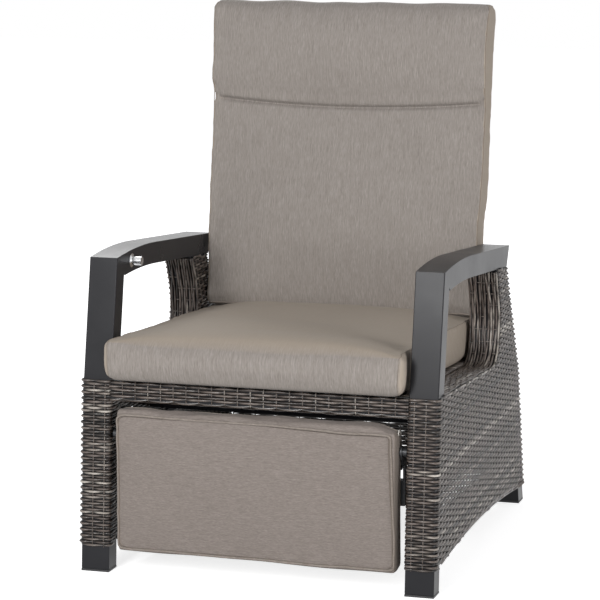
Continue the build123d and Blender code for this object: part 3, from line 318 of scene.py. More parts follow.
def stacked(*columns):
    """Rows of points from columns; a single number stands for a whole column."""
    return np.column_stack(np.broadcast_arrays(*columns))


def unit(vectors):
    return vectors / (np.linalg.norm(vectors, axis=1)[:, None] + 1e-12)


def ahead_of(points, loop=False):
    """Directions along a polyline."""
    if loop:
        return unit(np.roll(points, -1, 0) - np.roll(points, 1, 0))
    return unit(np.gradient(points, axis=0))


def run_length(points):
    """Distance along a polyline up to each of its points."""
    return np.concatenate([[0], np.cumsum(np.linalg.norm(np.diff(points, axis=0), axis=1))])


def resampled(points, step, loop=False):
    """Points at even steps along a polyline."""
    points = np.asarray(points, float)
    if loop:
        points = np.vstack([points, points[:1]])
    run = run_length(points)
    places = np.linspace(0, run[-1], max(3, int(run[-1] / step)))
    even = np.column_stack([np.interp(places, run, column) for column in points.T])
    return even[:-1] if loop else even


def smooth_step(value):
    value = np.clip(value, 0, 1)
    return value * value * (3 - 2 * value)


def shade_smooth(mesh):
    mesh.polygons.foreach_set("use_smooth", [True] * len(mesh.polygons))


def smooth_piece(name, points, faces, finish):
    """New piece from points and faces, shaded smooth."""
    mesh = bpy.data.meshes.new(name)
    mesh.from_pydata(points.tolist(), [], faces)
    shade_smooth(mesh)
    mesh.materials.append(finish)
    return placed(name, mesh)


class Strands:
    """Strands gathered into one mesh, with shade and place as attributes."""

    def __init__(self, seed, profile=HALF_ROUND):
        self.profile, self.ring = profile, profile is LENS
        self.random = np.random.default_rng(seed)
        self.points, self.faces, self.marks = [], [], []
        self.count = 0

    def shade(self):
        """Shade of a weaver: mostly middle greys and browns, some pale or dark."""
        return float(self.random.choice((0.12, 0.3, 0.42, 0.52, 0.66, 0.84),
                                        p=(0.14, 0.22, 0.22, 0.16, 0.15, 0.11))
                     + self.random.uniform(-0.05, 0.05))

    def add(self, centres, outs, width, thick, shade, loop=False, lit_share=1.0):
        """One strand along centres; outs point off the surface, and its last value, 0 where it
        dips, sets the painted shade there.
        """
        centres = np.asarray(centres, float)
        if len(centres) < 2:
            return
        count, corners = len(centres), len(self.profile)
        ahead = ahead_of(centres, loop)
        sides = unit(np.cross(np.broadcast_to(outs, centres.shape), ahead))
        outs = np.cross(ahead, sides)
        width, thick, lit_share = (np.broadcast_to(values, (count,))[:, None]
                               for values in (width, thick, lit_share))
        across, off = self.profile.T
        rings = (centres[:, None] + sides[:, None] * (across * width)[:, :, None]
                 + outs[:, None] * (off * thick)[:, :, None])
        marks = np.empty((count, corners, 4), np.float32)
        marks[:, :, 0] = shade
        marks[:, :, 1] = run_length(centres)[:, None]
        marks[:, :, 2] = across + 0.5
        # crown: the section's height off its base times the lit share; the rattan material paints
        # shade by it on edges and dips.
        marks[:, :, 3] = np.abs(off) * lit_share
        spans = np.arange(count if loop else count - 1)
        around = np.arange(corners if self.ring else corners - 1)
        one, two = np.meshgrid(spans, around, indexing="ij")
        near, far = one * corners, ((one + 1) % count) * corners
        after = (two + 1) % corners
        quads = np.stack([near + two, far + two, far + after, near + after], axis=-1).reshape(-1, 4)
        self.faces.extend((quads + self.count).tolist())
        if not loop:
            first = np.arange(corners) + self.count
            self.faces += [first.tolist(), (first[::-1] + (count - 1) * corners).tolist()]
        self.points.append(rings.reshape(-1, 3))
        self.marks.append(marks.reshape(-1, 4))
        self.count += count * corners

    def piece(self, name, body, node=None):
        """Makes the piece, which rides on a body and may take the place of a CAD skin."""
        piece = smooth_piece(name, np.concatenate(self.points), self.faces, wicker_finish)
        marks = np.concatenate(self.marks)
        for column, label in enumerate(("tone", "along", "across", "crown")):
            attribute = piece.data.attributes.new(label, "FLOAT", "POINT")
            attribute.data.foreach_set("value", np.ascontiguousarray(marks[:, column]))
        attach(piece, body)
        if node:
            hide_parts(node)


def lay_row(strands, points, normals, phase, row, loop=False, base=MIDDLE, bulge=BULGE,
            width=STRAND_WIDTH, roundness=0.3):
    """Weaves one strand along a path on the tubes' surface, over and under the stakes in turn.

    phase counts the stakes that the path passes, and roundness says how much of its wave is
    an even swing and how much a short dip behind each second stake.
    """
    normals = np.broadcast_to(normals, points.shape)
    dip = np.exp(-((np.mod(phase + row, 2) - 1) / 0.27) ** 2)
    wave = roundness * np.cos(pi * (phase + row)) + (1 - roundness) * (1 - 2 * dip)
    # Rows on an inner face lie flatter, because the cushions need the room.
    room = 1 - 0.45 * np.clip(-np.sign(points[:, 0]) * normals[:, 0], 0, 1)
    places = np.arange(len(points))
    knots = np.linspace(0, len(points) - 1, max(3, len(points) // 7))
    wander = np.interp(places, knots, strands.random.normal(0, 0.35 * MM, len(knots)))
    swell = 1 + np.interp(places, knots, strands.random.normal(0, 0.16, len(knots)))
    if loop:
        wander = wander * np.clip(np.minimum(places, places[::-1]) / 6, 0, 1)
    up = unit(np.cross(normals, ahead_of(points)))
    lift = (base + bulge * wave * np.where(wave > 0, swell, 1)) * room
    centres = points + normals * lift[:, None] + up * wander[:, None]
    widths = width * (1.0 + 0.06 * wave) * strands.random.uniform(0.92, 1.06)
    # The last value is the strand's lit share, low where it dips behind a stake: painted shade
    # there.
    strands.add(centres, normals, widths, STRAND_THICK * (1 + 0.06 * wave) * room,
                strands.shade(), loop, np.clip(0.55 + 0.6 * wave, 0.0, 1.0))


def add_stake(strands, points, outs, low=0.45, high=0.8):
    """Plain stake along points, of a shade between low and high."""
    strands.add(points, outs, STAKE_WIDTH, STAKE_THICK, strands.random.uniform(low, high))


def corner_lean(index, count, amount=0.8):
    """Sideways lean of a band's first and last strand, which lie on its corners."""
    return {0: -amount, count - 1: amount}.get(index, 0)


def side_outline(node, side):
    """Edge of the woven side's outer face as (y, z) points, read from the CAD node."""
    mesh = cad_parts[node].data
    places = coordinates(mesh)
    on_face = places[:, 0] * side > (places[:, 0] * side).max() - 0.05 * MM
    keys = [tuple(key) for key in np.round(places[:, 1:] * 1e5).astype(int)]
    edges = set()
    for polygon in mesh.polygons:
        corners = list(polygon.vertices)
        if all(on_face[corner] for corner in corners):
            for start, end in zip(corners, corners[1:] + corners[:1]):
                edges.add((keys[start], keys[end]))
    ahead = {start: end for start, end in edges if (end, start) not in edges}
    loop = [min(ahead)]
    while ahead[loop[-1]] != loop[0]:
        loop.append(ahead[loop[-1]])
    return np.array(loop) / 1e5


def crossings(loop, height):
    """Places where a level line enters and leaves an outline."""
    found = []
    for (y1, z1), (y2, z2) in zip(loop, np.roll(loop, -1, 0)):
        if (z1 - height) * (z2 - height) < 0:
            found.append(y1 + (y2 - y1) * (height - z1) / (z2 - z1))
    found.sort()
    return list(zip(found[::2], found[1::2]))


def side_edges(loop, height):
    """Front and rear edge of the side at a height, the leg's line carried on above its top."""
    front = crossings(loop, min(height, LEG_TOP))[0][0]
    if height > LEG_TOP:
        slope = (front - crossings(loop, LEG_MIDDLE)[0][0]) / (LEG_TOP - LEG_MIDDLE)
        front += slope * (height - LEG_TOP)
    return front, crossings(loop, height)[-1][1]


def end_turn(y_end, facing, x_from, x_to, phase_from, phase_to):
    """Path round one end of a skin, from one face to the other: x, y, normals, phases."""
    step = 1 if x_to > x_from else -1
    angles = np.linspace(0, pi / 2, 4)

    def bend(x, way):
        return stacked(x + way * TURN * (1 - np.cos(angles)),
                       y_end - facing * TURN * (1 - np.sin(angles)),
                       -way * np.cos(angles), facing * np.sin(angles))

    level = np.linspace(x_from + step * TURN, x_to - step * TURN, 9)[1:-1]
    path = np.concatenate([bend(x_from, step), stacked(level, y_end, 0, facing),
                           bend(x_to, -step)[::-1]])
    run = run_length(path[:, :2])
    return np.column_stack([path, phase_from + (phase_to - phase_from) * run / run[-1]])


def skin_run(x, normal, y_from, y_to, front, rear, stakes, fine):
    """Straight stretch of a row along one skin of a side, in fine steps from stake to stake."""
    share_from, share_to = ((y - front) / (rear - front) for y in (y_from, y_to))
    count = max(2, int(round(abs(share_to - share_from) * stakes * fine)))
    share = np.linspace(share_from, share_to, count + 1)
    return stacked(x, front + (rear - front) * share, normal, 0, stakes * share)


def side_rows(strands, loop, side):
    """Level rows round a woven side: whole loops, and open rows at the arch and the wing."""
    lowest, highest = loop[:, 1].min(), loop[:, 1].max()
    for row in range(int((highest - lowest - 2 * MM) / ROW_PITCH)):
        height = lowest + (row + 0.5) * ROW_PITCH
        front_edge, rear_edge = side_edges(loop, height)
        front, rear = front_edge + SKIN, rear_edge - SKIN
        for y_from, y_to in crossings(loop, height):
            at_front, at_rear = abs(y_from - front_edge) < 4 * MM, abs(y_to - rear_edge) < 4 * MM
            start, end = y_from + SKIN, y_to - SKIN
            if end - start < 16 * MM or not (at_front or at_rear):
                continue
            first = start + (TURN if at_front else 1 * MM)
            last = end - (TURN if at_rear else 1 * MM)
            outer = skin_run(SIDE_OUT, 1, first, last, front, rear, OUTER_STAKES, 4)
            inner = skin_run(SIDE_IN, -1, last, first, front, rear, INNER_STAKES, 3)
            inner[:, 4] = -END_STAKES - inner[:, 4]
            front_turn = end_turn(start, -1, SIDE_IN, SIDE_OUT, inner[-1, 4], outer[0, 4])[1:-1]
            rear_turn = end_turn(end, 1, SIDE_OUT, SIDE_IN, 0, 0)
            rear_turn[:, 4] = outer[-1, 4] + np.linspace(0, END_STAKES, len(rear_turn))
            if at_front:
                parts = [inner, front_turn, outer] + [rear_turn[1:-1]] * bool(at_rear)
            else:
                inner[:, 4] += round((rear_turn[-1, 4] - inner[0, 4]) / 2) * 2
                parts = [outer, rear_turn[1:-1], inner]
            x, y, out_x, out_y, phase = np.concatenate(parts).T
            lay_row(strands, stacked(x * side, y, height), stacked(out_x * side, out_y, 0), phase,
                    row, at_front and at_rear, MIDDLE, SIDE_BULGE, SIDE_STRAND_WIDTH,
                    SIDE_ROUNDNESS)


def side_stakes(strands, loop, side):
    """Upright stakes on both skins, on the front of the leg and on the rear."""
    heights = np.arange(loop[:, 1].min() + 1 * MM, loop[:, 1].max() - 2 * MM, 9 * MM)
    front, rear = np.array([side_edges(loop, height) for height in heights]).T
    spans = [crossings(loop, height) for height in heights]

    def upright(x, depths, normal, kept):
        """Adds one stake in as many runs as lie on the side."""
        run = []
        for depth, height, keep in zip([*depths, 0], [*heights, 0], [*kept, False]):
            if keep:
                run.append((x * side, depth, height))
            elif run:
                add_stake(strands, np.array(run) + np.array(normal) * 0.5 * MM, normal)
                run = []

    for stakes, x, facing in ((OUTER_STAKES, SIDE_OUT, 1), (INNER_STAKES, SIDE_IN, -1)):
        for stake in range(stakes + 1):
            depths = front + SKIN + (rear - front - 2 * SKIN) * (stake / stakes)
            kept = [any(low + 7 * MM < depth < high - 7 * MM for low, high in span)
                    for depth, span in zip(depths, spans)]
            upright(x, depths, (facing * side, 0, 0), kept)
    for share in (0.5 / END_STAKES, 1.5 / END_STAKES):
        x = SIDE_IN + share * (SIDE_OUT - SIDE_IN)
        for end, (edge, facing) in enumerate(((front, -1), (rear, 1))):
            kept = [any(abs(limits[end] - place) < 3 * MM for limits in span)
                    for place, span in zip(edge, spans)]
            upright(x, edge - facing * SKIN, (0, facing, 0), kept)


def edge_path(loop, wanted):
    """Longest stretch of an outline whose points pass a test, with its outward directions."""
    after = np.roll(loop, -1, 0)
    area = (loop[:, 0] * after[:, 1] - after[:, 0] * loop[:, 1]).sum()
    closed = resampled(loop, 2.5 * MM, True)
    good = np.array([bool(wanted(y, z)) for y, z in closed])
    first = int(np.argmin(good))
    closed, good = np.roll(closed, -first, 0), np.roll(good, -first)
    flips = np.flatnonzero(np.diff(np.concatenate([[0], good, [0]])))
    low, high = max(zip(flips[::2], flips[1::2]), key=lambda run: run[1] - run[0])
    path = resampled(closed[low:high], 7 * MM)
    ahead = ahead_of(path)
    return path, stacked(ahead[:, 1], -ahead[:, 0]) * (1 if area > 0 else -1)


def band(strands, path, out, side, lift):
    """Long strands along an edge of the side, over its whole width, held by short cross ties."""
    run = run_length(path)
    step = (SIDE_OUT - SIDE_IN + 2 * SKIN) / BAND_STRANDS
    xs = SIDE_IN - SKIN + (np.arange(BAND_STRANDS) + 0.5) * step
    knots = np.linspace(0, run[-1], max(4, int(run[-1] / (42 * MM))))
    for index, x in enumerate(xs):
        sway = eased(run, knots, strands.random.normal(0, 1.1 * MM, len(knots)))
        rise = eased(run, knots, strands.random.normal(0, 0.5 * MM, len(knots)))
        lean = corner_lean(index, BAND_STRANDS)
        if lean:
            sway *= 0.3
        dip = np.exp(-((np.mod(run / STAKE_PITCH + index, 2) - 1) / 0.24) ** 2)
        level = lift + rise - (1.3 * MM if lean else 0) - 1.6 * MM * dip
        points = stacked((x + sway) * side, *(path + out * level[:, None]).T)
        width = 5.0 * MM * strands.random.uniform(0.8, 1.06)
        # The last value is the strand's lit share, low where it dips: painted shade there.
        strands.add(points, stacked(lean * side, *out.T), width, 2.8 * MM, strands.shade(),
                    False, 1 - 0.8 * dip)
    share = np.linspace(-1, 1, 5)
    bow = (lift + 0.4 * MM * (1 - share ** 2))[:, None]
    for tie in range(1, int(run[-1] / STAKE_PITCH)):
        y, z, out_y, out_z = (np.interp(tie * STAKE_PITCH, run, values)
                              for values in (*path.T, *out.T))
        for x in xs[1 + tie % 2:-1:2]:
            if strands.random.uniform() < 0.35:
                continue
            centres = (y, z) + bow * (out_y, out_z)
            strands.add(stacked((x + 0.62 * step * share) * side, *centres.T), (0, out_y, out_z),
                        2.5 * MM, 1.8 * MM, strands.random.uniform(0.35, 0.7))


def edge_strands(strands, path, out, side):
    """Two strands on each skin along an edge, which close the gap to the last row."""
    for x, facing in ((SIDE_OUT, 1), (SIDE_IN, -1)):
        for inset in (1.0 * MM, 5.6 * MM):
            points = stacked((x + facing * MIDDLE) * side, *(path - out * inset).T)
            strands.add(points, (facing * side, 0, 0), 5.2 * MM, STRAND_THICK, strands.shade())


def eased(run, knots, values):
    """Values at knots joined by smooth waves."""
    share = np.interp(run, knots, np.arange(len(knots)))
    low = np.minimum(share.astype(int), len(knots) - 2)
    blend = smooth_step(share - low)
    return values[low] * (1 - blend) + values[low + 1] * blend


def weave_side(name, side, seed):
    """One woven side with its stakes, and the long strands of its rim, wing and arch."""
    node = "side_weave_" + name
    loop = side_outline(node, side)
    strands = Strands(seed)
    side_rows(strands, loop, side)
    side_stakes(strands, loop, side)
    strands.piece("woven_side_" + name, "base", node)
    edges = Strands(seed + 1)
    top = loop[:, 1].max()
    rim = edge_path(loop, lambda y, z: y > -0.328 and 0.345 < z < top - 5 * MM
                    and y < side_edges(loop, z)[1] - 12 * MM)
    arch = edge_path(loop, lambda y, z: z < 0.072 and -0.349 < y < 0.374)
    band(edges, *rim, side, -0.6 * MM)
    band(edges, *arch, side, -0.8 * MM)
    edge_strands(edges, *arch, side)
    edges.piece("woven_edges_" + name, "base")


def rounded_path(corners, radius, closed=False):
    """Polyline with its corners rounded."""
    corners = np.array(corners, float)
    points = []
    for index, corner in enumerate(corners):
        if not closed and index in (0, len(corners) - 1):
            points.append(corner)
            continue
        into, away = unit(np.array([corners[index - 1], corners[(index + 1) % len(corners)]])
                          - corner)
        reach = radius / tan(np.arccos(np.clip(into @ away, -1, 1)) / 2)
        start, end = corner + into * reach, corner + away * reach
        for share in np.linspace(0, 1, 6):
            points.append((1 - share) ** 2 * start + 2 * share * (1 - share) * corner
                          + share ** 2 * end)
    return np.array(points)


def rounded_box(left, bottom, right, top, radius):
    """Closed outline of a rectangle with rounded corners."""
    return rounded_path([(left, bottom), (right, bottom), (right, top), (left, top)], radius, True)


def weave_across(strands, path, half, turn, stake_lift, skip=0, closed=False, base=MIDDLE,
                 bulge=BULGE, fine=4, pitch=ROW_PITCH, width=STRAND_WIDTH):
    """Rows along X over a path in side view, and stakes along that path.

    turn picks the side of the path that faces out, and skip leaves out the outermost stakes.
    """
    run = run_length(path)
    count = int(round(run[-1] / pitch))
    if closed:
        count -= count % 2
    ahead = ahead_of(path)
    out = stacked(ahead[:, 1], -ahead[:, 0]) * turn
    stakes = int(round(2 * half / STAKE_PITCH))
    phase = np.linspace(0, stakes, stakes * fine + 1)
    for row, place in enumerate((np.arange(count) + 0.5) * run[-1] / count):
        y, z, out_y, out_z = (np.interp(place, run, values) for values in (*path.T, *out.T))
        lay_row(strands, stacked(-half + 2 * half * phase / stakes, y, z),
                np.array((0, out_y, out_z)) / hypot(out_y, out_z), phase, row, False, base, bulge,
                width)
    y, z, *outs = resampled(np.column_stack([path, out]), 9 * MM).T
    outs = unit(stacked(0, *outs))
    for stake in range(skip, stakes + 1 - skip):
        x = -half + 2 * half * stake / stakes
        add_stake(strands, stacked(x, y, z) + outs * stake_lift, outs)


def weave_apron():
    """Woven cover of the front seat rail."""
    low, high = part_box("front_apron_weave")
    path = rounded_box(low.y + SKIN, low.z + SKIN, high.y - SKIN, high.z - SKIN, 4 * MM)
    path = resampled(np.vstack([path, path[:1]]), 2 * MM)
    strands = Strands(31)
    weave_across(strands, path, high.x + 4.5 * MM, 1, 0.5 * MM, 1, True)
    strands.piece("woven_apron", "base", "front_apron_weave")


def weave_deck():
    """Woven seat deck under the cushion."""
    low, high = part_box("seat_deck_weave")
    drop = (high.y - low.y) * tan(SEAT_SLOPE)
    top = high.z - 2.5 * MM
    path = resampled([(low.y + 2 * MM, top), (high.y - 2 * MM, top - drop)], 4 * MM)
    strands = Strands(37, LENS)
    weave_across(strands, path, high.x - 1 * MM, -1, -0.4 * MM, base=0.0, bulge=0.8 * MM, fine=2,
                 pitch=6.4 * MM, width=7.0 * MM)
    strands.piece("woven_seat_deck", "base", "seat_deck_weave")


def weave_rear_panel():
    """Woven sheet between the rear legs, folded forward round its rail, with a bound top edge."""
    low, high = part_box("rear_panel_weave")
    rail_low, rail_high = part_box("rear_lower_rail")
    off = 1.8 * MM
    # The sheet follows the lean of the rear legs, from behind their feet.
    top_y, foot_y = (0.4305 - 0.079 / 0.303 * height - off for height in (0.285, 0.070))
    path = rounded_path([(top_y, high.z - 1 * MM), (foot_y, rail_low.z - off),
                         (rail_low.y - off, rail_low.z - off),
                         (rail_low.y - off, rail_high.z + 3 * MM)], 4 * MM)
    strands = Strands(41, LENS)
    half = high.x - 1 * MM
    weave_across(strands, resampled(path, 3 * MM), half, -1, -0.3 * MM, base=0.0, bulge=1.1 * MM,
                 width=6.2 * MM)
    for lift, facing in ((1.2 * MM, 1), (-1.8 * MM, -1)):
        points = stacked(np.linspace(-half, half, 60), top_y + lift, high.z - 2 * MM)
        strands.add(points, (0, facing, 0.3), STRAND_WIDTH * 1.1, STRAND_THICK, strands.shade())
    strands.piece("woven_rear_panel", "base", "rear_panel_weave")


class Lie:
    """How a piece lies: x, depth rearward and height over a foot (y, z), tilted back."""

    def __init__(self, angle, foot):
        self.cos, self.sin, self.foot = cos(angle), sin(angle), foot

    def turned(self, vectors):
        """Directions of the piece as directions of the chair."""
        x, depth, up = np.asarray(vectors, float).T
        return stacked(x, depth * self.cos + up * self.sin, up * self.cos - depth * self.sin)

    def to_chair(self, flat):
        """Places on the piece as places of the chair."""
        return self.turned(flat) + (0, *self.foot)

    def from_chair(self, places):
        """Places of the chair as places on the piece."""
        x, y, z = (places - np.array((0, *self.foot))).T
        return stacked(x, y * self.cos - z * self.sin, y * self.sin + z * self.cos)


SEAT_SLOPE = radians(3)
SEAT = Lie(SEAT_SLOPE, (-0.4305, 0.3894))
BACK = Lie(radians(6.3), (0.2895, 0.370))
FOOTREST = Lie(0, (0, 0))


def weave_backrest():
    """Woven bag over the backrest's bow, its rows running round it, and its bound edge."""
    half, depth, bottom, top, round_top = 0.268 - SKIN, 12.5 * MM, 0.040, 0.694 - SKIN, 46.5 * MM
    face_stakes = 20

    def arc(away):
        return sqrt(max(round_top ** 2 - away ** 2, 0))

    strands = Strands(47)
    share = np.linspace(-1, 1, face_stakes * 4 + 1)
    for row in range(int((top - bottom - 2 * MM) / ROW_PITCH)):
        height = bottom + (row + 0.5) * ROW_PITCH
        over = height - (top - round_top)
        reach = half if over <= 0 else half - round_top + arc(over)
        reach -= 0 if over < -6 * MM else 1.5 * MM
        run = share * (reach - TURN)
        phase = face_stakes / 2 * (1 + run / half)
        parts = []
        for way in (1, -1):
            start = 0 if way > 0 else face_stakes + 1
            turn = end_turn(way * reach, way, -way * depth, way * depth, start + face_stakes,
                            start + face_stakes + 1)
            parts += [stacked(way * run, -way * depth, 0, -way, start + phase),
                      turn[1:-1, [1, 0, 3, 2, 4]]]
        path = np.concatenate(parts)
        x, y, out_x, out_y, phase = path.T
        lay_row(strands, BACK.to_chair(stacked(x, y, height)),
                BACK.turned(stacked(out_x, out_y, 0)), phase, row, True)
    for facing in (-1, 1):
        outs = BACK.turned([(0, facing, 0)])
        for stake in range(1, face_stakes):
            x = -half + 2 * half * stake / face_stakes
            edge = half - abs(x)
            rise = top if edge > round_top else top - round_top + arc(round_top - edge)
            heights = np.arange(bottom + 2 * MM, rise - 3 * MM, 10 * MM)
            points = stacked(x, facing * (depth + 0.5 * MM), heights)
            add_stake(strands, BACK.to_chair(points), outs, 0.70, 0.90)
    strands.piece("woven_backrest", "backrest", "backrest_weave")

    edges = Strands(53)
    right = [(half, top - round_top - 30 * MM)]
    right += [(half - round_top * (1 - cos(angle)), top - round_top * (1 - sin(angle)))
              for angle in np.linspace(0, pi / 2, 9)]
    path = resampled([(-x, z) for x, z in right] + right[::-1], 7 * MM)
    ahead = ahead_of(path)
    out = stacked(-ahead[:, 1], ahead[:, 0])
    run = run_length(path)
    knots = np.linspace(0, run[-1], 20)
    fade = np.clip(np.minimum(run, run[-1] - run) / (30 * MM), 0, 1)
    for index in range(6):
        across = -depth - 1 * MM + (index + 0.5) / 6 * (2 * depth + 2 * MM)
        sway = np.interp(run, knots, edges.random.normal(0, 0.4 * MM, len(knots)))
        lean = corner_lean(index, 6)
        lift = (1.4 * MM if lean else 2.6 * MM) * fade - 0.5 * MM * (1 - fade)
        x, z = (path + out * lift[:, None]).T
        edges.add(BACK.to_chair(stacked(x, across + sway, z)),
                  BACK.turned(stacked(out[:, 0], lean, out[:, 1])), STRAND_WIDTH, STRAND_THICK,
                  edges.shade())
    edges.piece("woven_backrest_edge", "backrest")


def weave_footrest():
    """Woven panel of the footrest, turned back round its frame, with bound ends."""
    low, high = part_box("footrest_weave")
    front, rear, half = low.y + SKIN, high.y - SKIN, high.x - SKIN
    base, top = low.z + SKIN, high.z - SKIN
    border = 38 * MM
    path = rounded_path([(rear, base + border), (rear, base), (front, base), (front, top),
                         (rear, top), (rear, top - border)], 4 * MM)
    strands = Strands(59)
    weave_across(strands, resampled(path, 2.5 * MM), half, -1, 0.5 * MM, 1)
    heights = np.linspace(base - 1 * MM, top + 1 * MM, 34)
    for facing in (-1, 1):
        for index in range(5):
            y = front - 1.5 * MM + (index + 0.5) / 5 * (rear - front + 3 * MM)
            strands.add(stacked(facing * (half + 1.2 * MM), y, heights),
                        (facing, corner_lean(index, 5, 0.7), 0), STRAND_WIDTH, STRAND_THICK,
                        strands.shade())
    strands.piece("woven_footrest", "footrest", "footrest_weave")


def coordinates(mesh):
    places = np.empty(len(mesh.vertices) * 3)
    mesh.vertices.foreach_get("co", places)
    return places.reshape(-1, 3)


def move_points(piece, places):
    piece.data.vertices.foreach_set("co", places.ravel())


@contextmanager
def opened(mesh):
    """Opens a mesh for editing and writes it back."""
    shape = bmesh.new()
    shape.from_mesh(mesh)
    yield shape
    shape.to_mesh(mesh)
    shape.free()


def merged_copy(node, name):
    """Copy of a CAD node's mesh as a new piece, its split corners joined again."""
    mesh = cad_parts[node].data.copy()
    mesh.name = name
    with opened(mesh) as shape:
        bmesh.ops.remove_doubles(shape, verts=shape.verts, dist=0.02 * MM)
        bmesh.ops.dissolve_limit(shape, angle_limit=radians(0.5), verts=shape.verts,
                                 edges=shape.edges)
    return placed(name, mesh)


def finish_piece(piece, finish, body, node):
    """Gives a piece its finish and body, in place of a CAD node."""
    piece.data.materials.clear()
    piece.data.materials.append(finish)
    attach(piece, body)
    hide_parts(node)


def evaluated(piece):
    """Mesh of a piece with its modifiers worked in."""
    graph = bpy.context.evaluated_depsgraph_get()
    return bpy.data.meshes.new_from_object(piece.evaluated_get(graph))


def modify(piece, kind, **settings):
    """Works one modifier into the mesh of a piece."""
    modifier = piece.modifiers.new(kind.lower(), kind)
    for name, value in settings.items():
        setattr(modifier, name, value)
    mesh = evaluated(piece)
    piece.modifiers.clear()
    piece.data = mesh


# Cover of a cushion for the cloth simulation: light, a little stretchy and blown up from inside.
COVER = {"quality": 5, "mass": 0.25, "tension_stiffness": 12, "compression_stiffness": 12,
         "shear_stiffness": 5, "bending_stiffness": 0.4, "use_pressure": True,
         "uniform_pressure_force": 4, "vertex_group_mass": "sewn"}
COVER_FRAMES = 20


def padded_form(node, lie, shrink, voxel, cap, held):
    """Cushion blown up by a cloth simulation from a slightly smaller copy of its CAD solid.

    held says which places on the cushion are sewn down, and cap is the most that any
    place moves. The blown form is brought back to the solid's size.
    """
    piece = merged_copy(node, node + "_padded")
    flat = lie.from_chair(coordinates(piece.data))
    low, high = flat.min(axis=0), flat.max(axis=0)
    middle = (low + high) / 2
    small = middle + (flat - middle) * (1 - 2 * np.array(shrink) / (high - low))
    move_points(piece, lie.to_chair(small))
    modify(piece, "REMESH", mode="VOXEL", voxel_size=voxel, use_smooth_shade=True)
    modify(piece, "SMOOTH", factor=0.5, iterations=3)
    rest = coordinates(piece.data)
    move_points(piece, rest + blown(piece, rest, held(lie.from_chair(rest)), cap))
    modify(piece, "SUBSURF", levels=1, render_levels=1)
    shade_smooth(piece.data)
    grown = lie.from_chair(coordinates(piece.data))
    now_low, now_high = grown.min(axis=0), grown.max(axis=0)
    move_points(piece, lie.to_chair(low + (grown - now_low) / (now_high - now_low) * (high - low)))
    return piece


def blown(piece, rest, sewn, cap):
    """How far each point of a cushion moves when its cover is blown up."""
    group = piece.vertex_groups.new(name="sewn")
    group.add([int(index) for index in np.nonzero(sewn)[0]], 1.0, "REPLACE")
    cover = piece.modifiers.new("cloth", "CLOTH")
    for name, value in COVER.items():
        setattr(cover.settings, name, value)
    cover.settings.effector_weights.gravity = 0
    cover.collision_settings.use_collision = False
    cover.point_cache.frame_start, cover.point_cache.frame_end = 1, COVER_FRAMES
    for number in range(1, COVER_FRAMES + 1):
        bpy.context.scene.frame_set(number)
    puffed = evaluated(piece)
    moved = coordinates(puffed) - rest
    bpy.data.meshes.remove(puffed)
    piece.modifiers.clear()
    piece.vertex_groups.clear()
    bpy.context.scene.frame_set(1)
    length = np.linalg.norm(moved, axis=1)
    return moved * (np.minimum(length, cap) / np.maximum(length, 1e-9))[:, None]


def ripple(axes, sizes, seed):
    """Smooth seeded unevenness between about -1 and 1, from places and sizes by axis."""
    x, y, z = np.broadcast_arrays(*(axis / size for axis, size in zip(axes, sizes)))
    return np.array([noise.noise(Vector(place)) for place in zip(x + seed, y, z)])


def squared(across, reach, front, edge, radius, amount):
    """Makes a rounded corner tighter: across runs to reach and front to edge, both outward."""
    one = (np.abs(across) - (reach - radius)) / radius
    two = (front - (edge - radius)) / radius
    inside = (one > 0) & (two > 0)
    turn = np.arctan2(np.maximum(two, 1e-9), np.maximum(one, 1e-9))
    more = np.where(inside, amount * (1 / np.maximum(np.cos(turn), np.sin(turn)) - 1), 0)
    tighter = np.sign(across) * (reach - radius + one * (1 + more) * radius)
    return (np.where(inside, tighter, across),
            np.where(inside, edge - radius + two * (1 + more) * radius, front))


def edge_line(flat, strip, along, bins, reach, out, pick):
    """Where a cushion's face lies beside its edges: pick takes its least or most along out."""
    by_edge = (np.abs(flat[:, 0]) > strip[0]) & (np.abs(flat[:, 0]) < strip[1])
    return np.array([pick(flat[by_edge & (np.abs(flat[:, along] - place) < reach), out])
                     for place in bins])


def finish_cushion(piece, lie, change, finish, body, node):
    """Gives a blown-up cushion its last shape and its cloth."""
    flat = lie.from_chair(coordinates(piece.data))
    move_points(piece, lie.to_chair(change(flat)))
    piece.data.update()
    finish_piece(piece, finish, body, node)


def tube(name, points, radius, closed, finish):
    """Thin round tube along points."""
    sides = 8 if radius > 1.2 * MM else 6
    ahead = ahead_of(points, closed)
    guide = np.array([0.31, 0.22, 0.93])
    if abs(ahead @ guide).max() > 0.98:
        guide = np.array([0.9, -0.3, 0.3])
    side = unit(np.cross(ahead, guide))
    up = np.cross(side, ahead)
    angles = np.arange(sides)[None, :, None] * 2 * pi / sides
    rings = points[:, None] + radius * (side[:, None] * np.cos(angles)
                                        + up[:, None] * np.sin(angles))
    count = len(points)
    faces = []
    for ring in range(count if closed else count - 1):
        near, far = ring * sides, (ring + 1) % count * sides
        for corner in range(sides):
            after = (corner + 1) % sides
            faces.append((near + corner, near + after, far + after, far + corner))
    if not closed:
        faces += [tuple(reversed(range(sides))), tuple(range((count - 1) * sides, count * sides))]
    piece = smooth_piece(name, rings.reshape(-1, 3), faces, finish)
    with opened(piece.data) as shape:
        bmesh.ops.recalc_face_normals(shape, faces=shape.faces)
    return piece


def smoothed(points, closed):
    """Row of points with small jumps evened out."""
    for _ in range(2):
        evened = 0.5 * points + 0.25 * (np.roll(points, 1, 0) + np.roll(points, -1, 0))
        if not closed:
            evened[0], evened[-1] = points[0], points[-1]
        points = evened
    return points


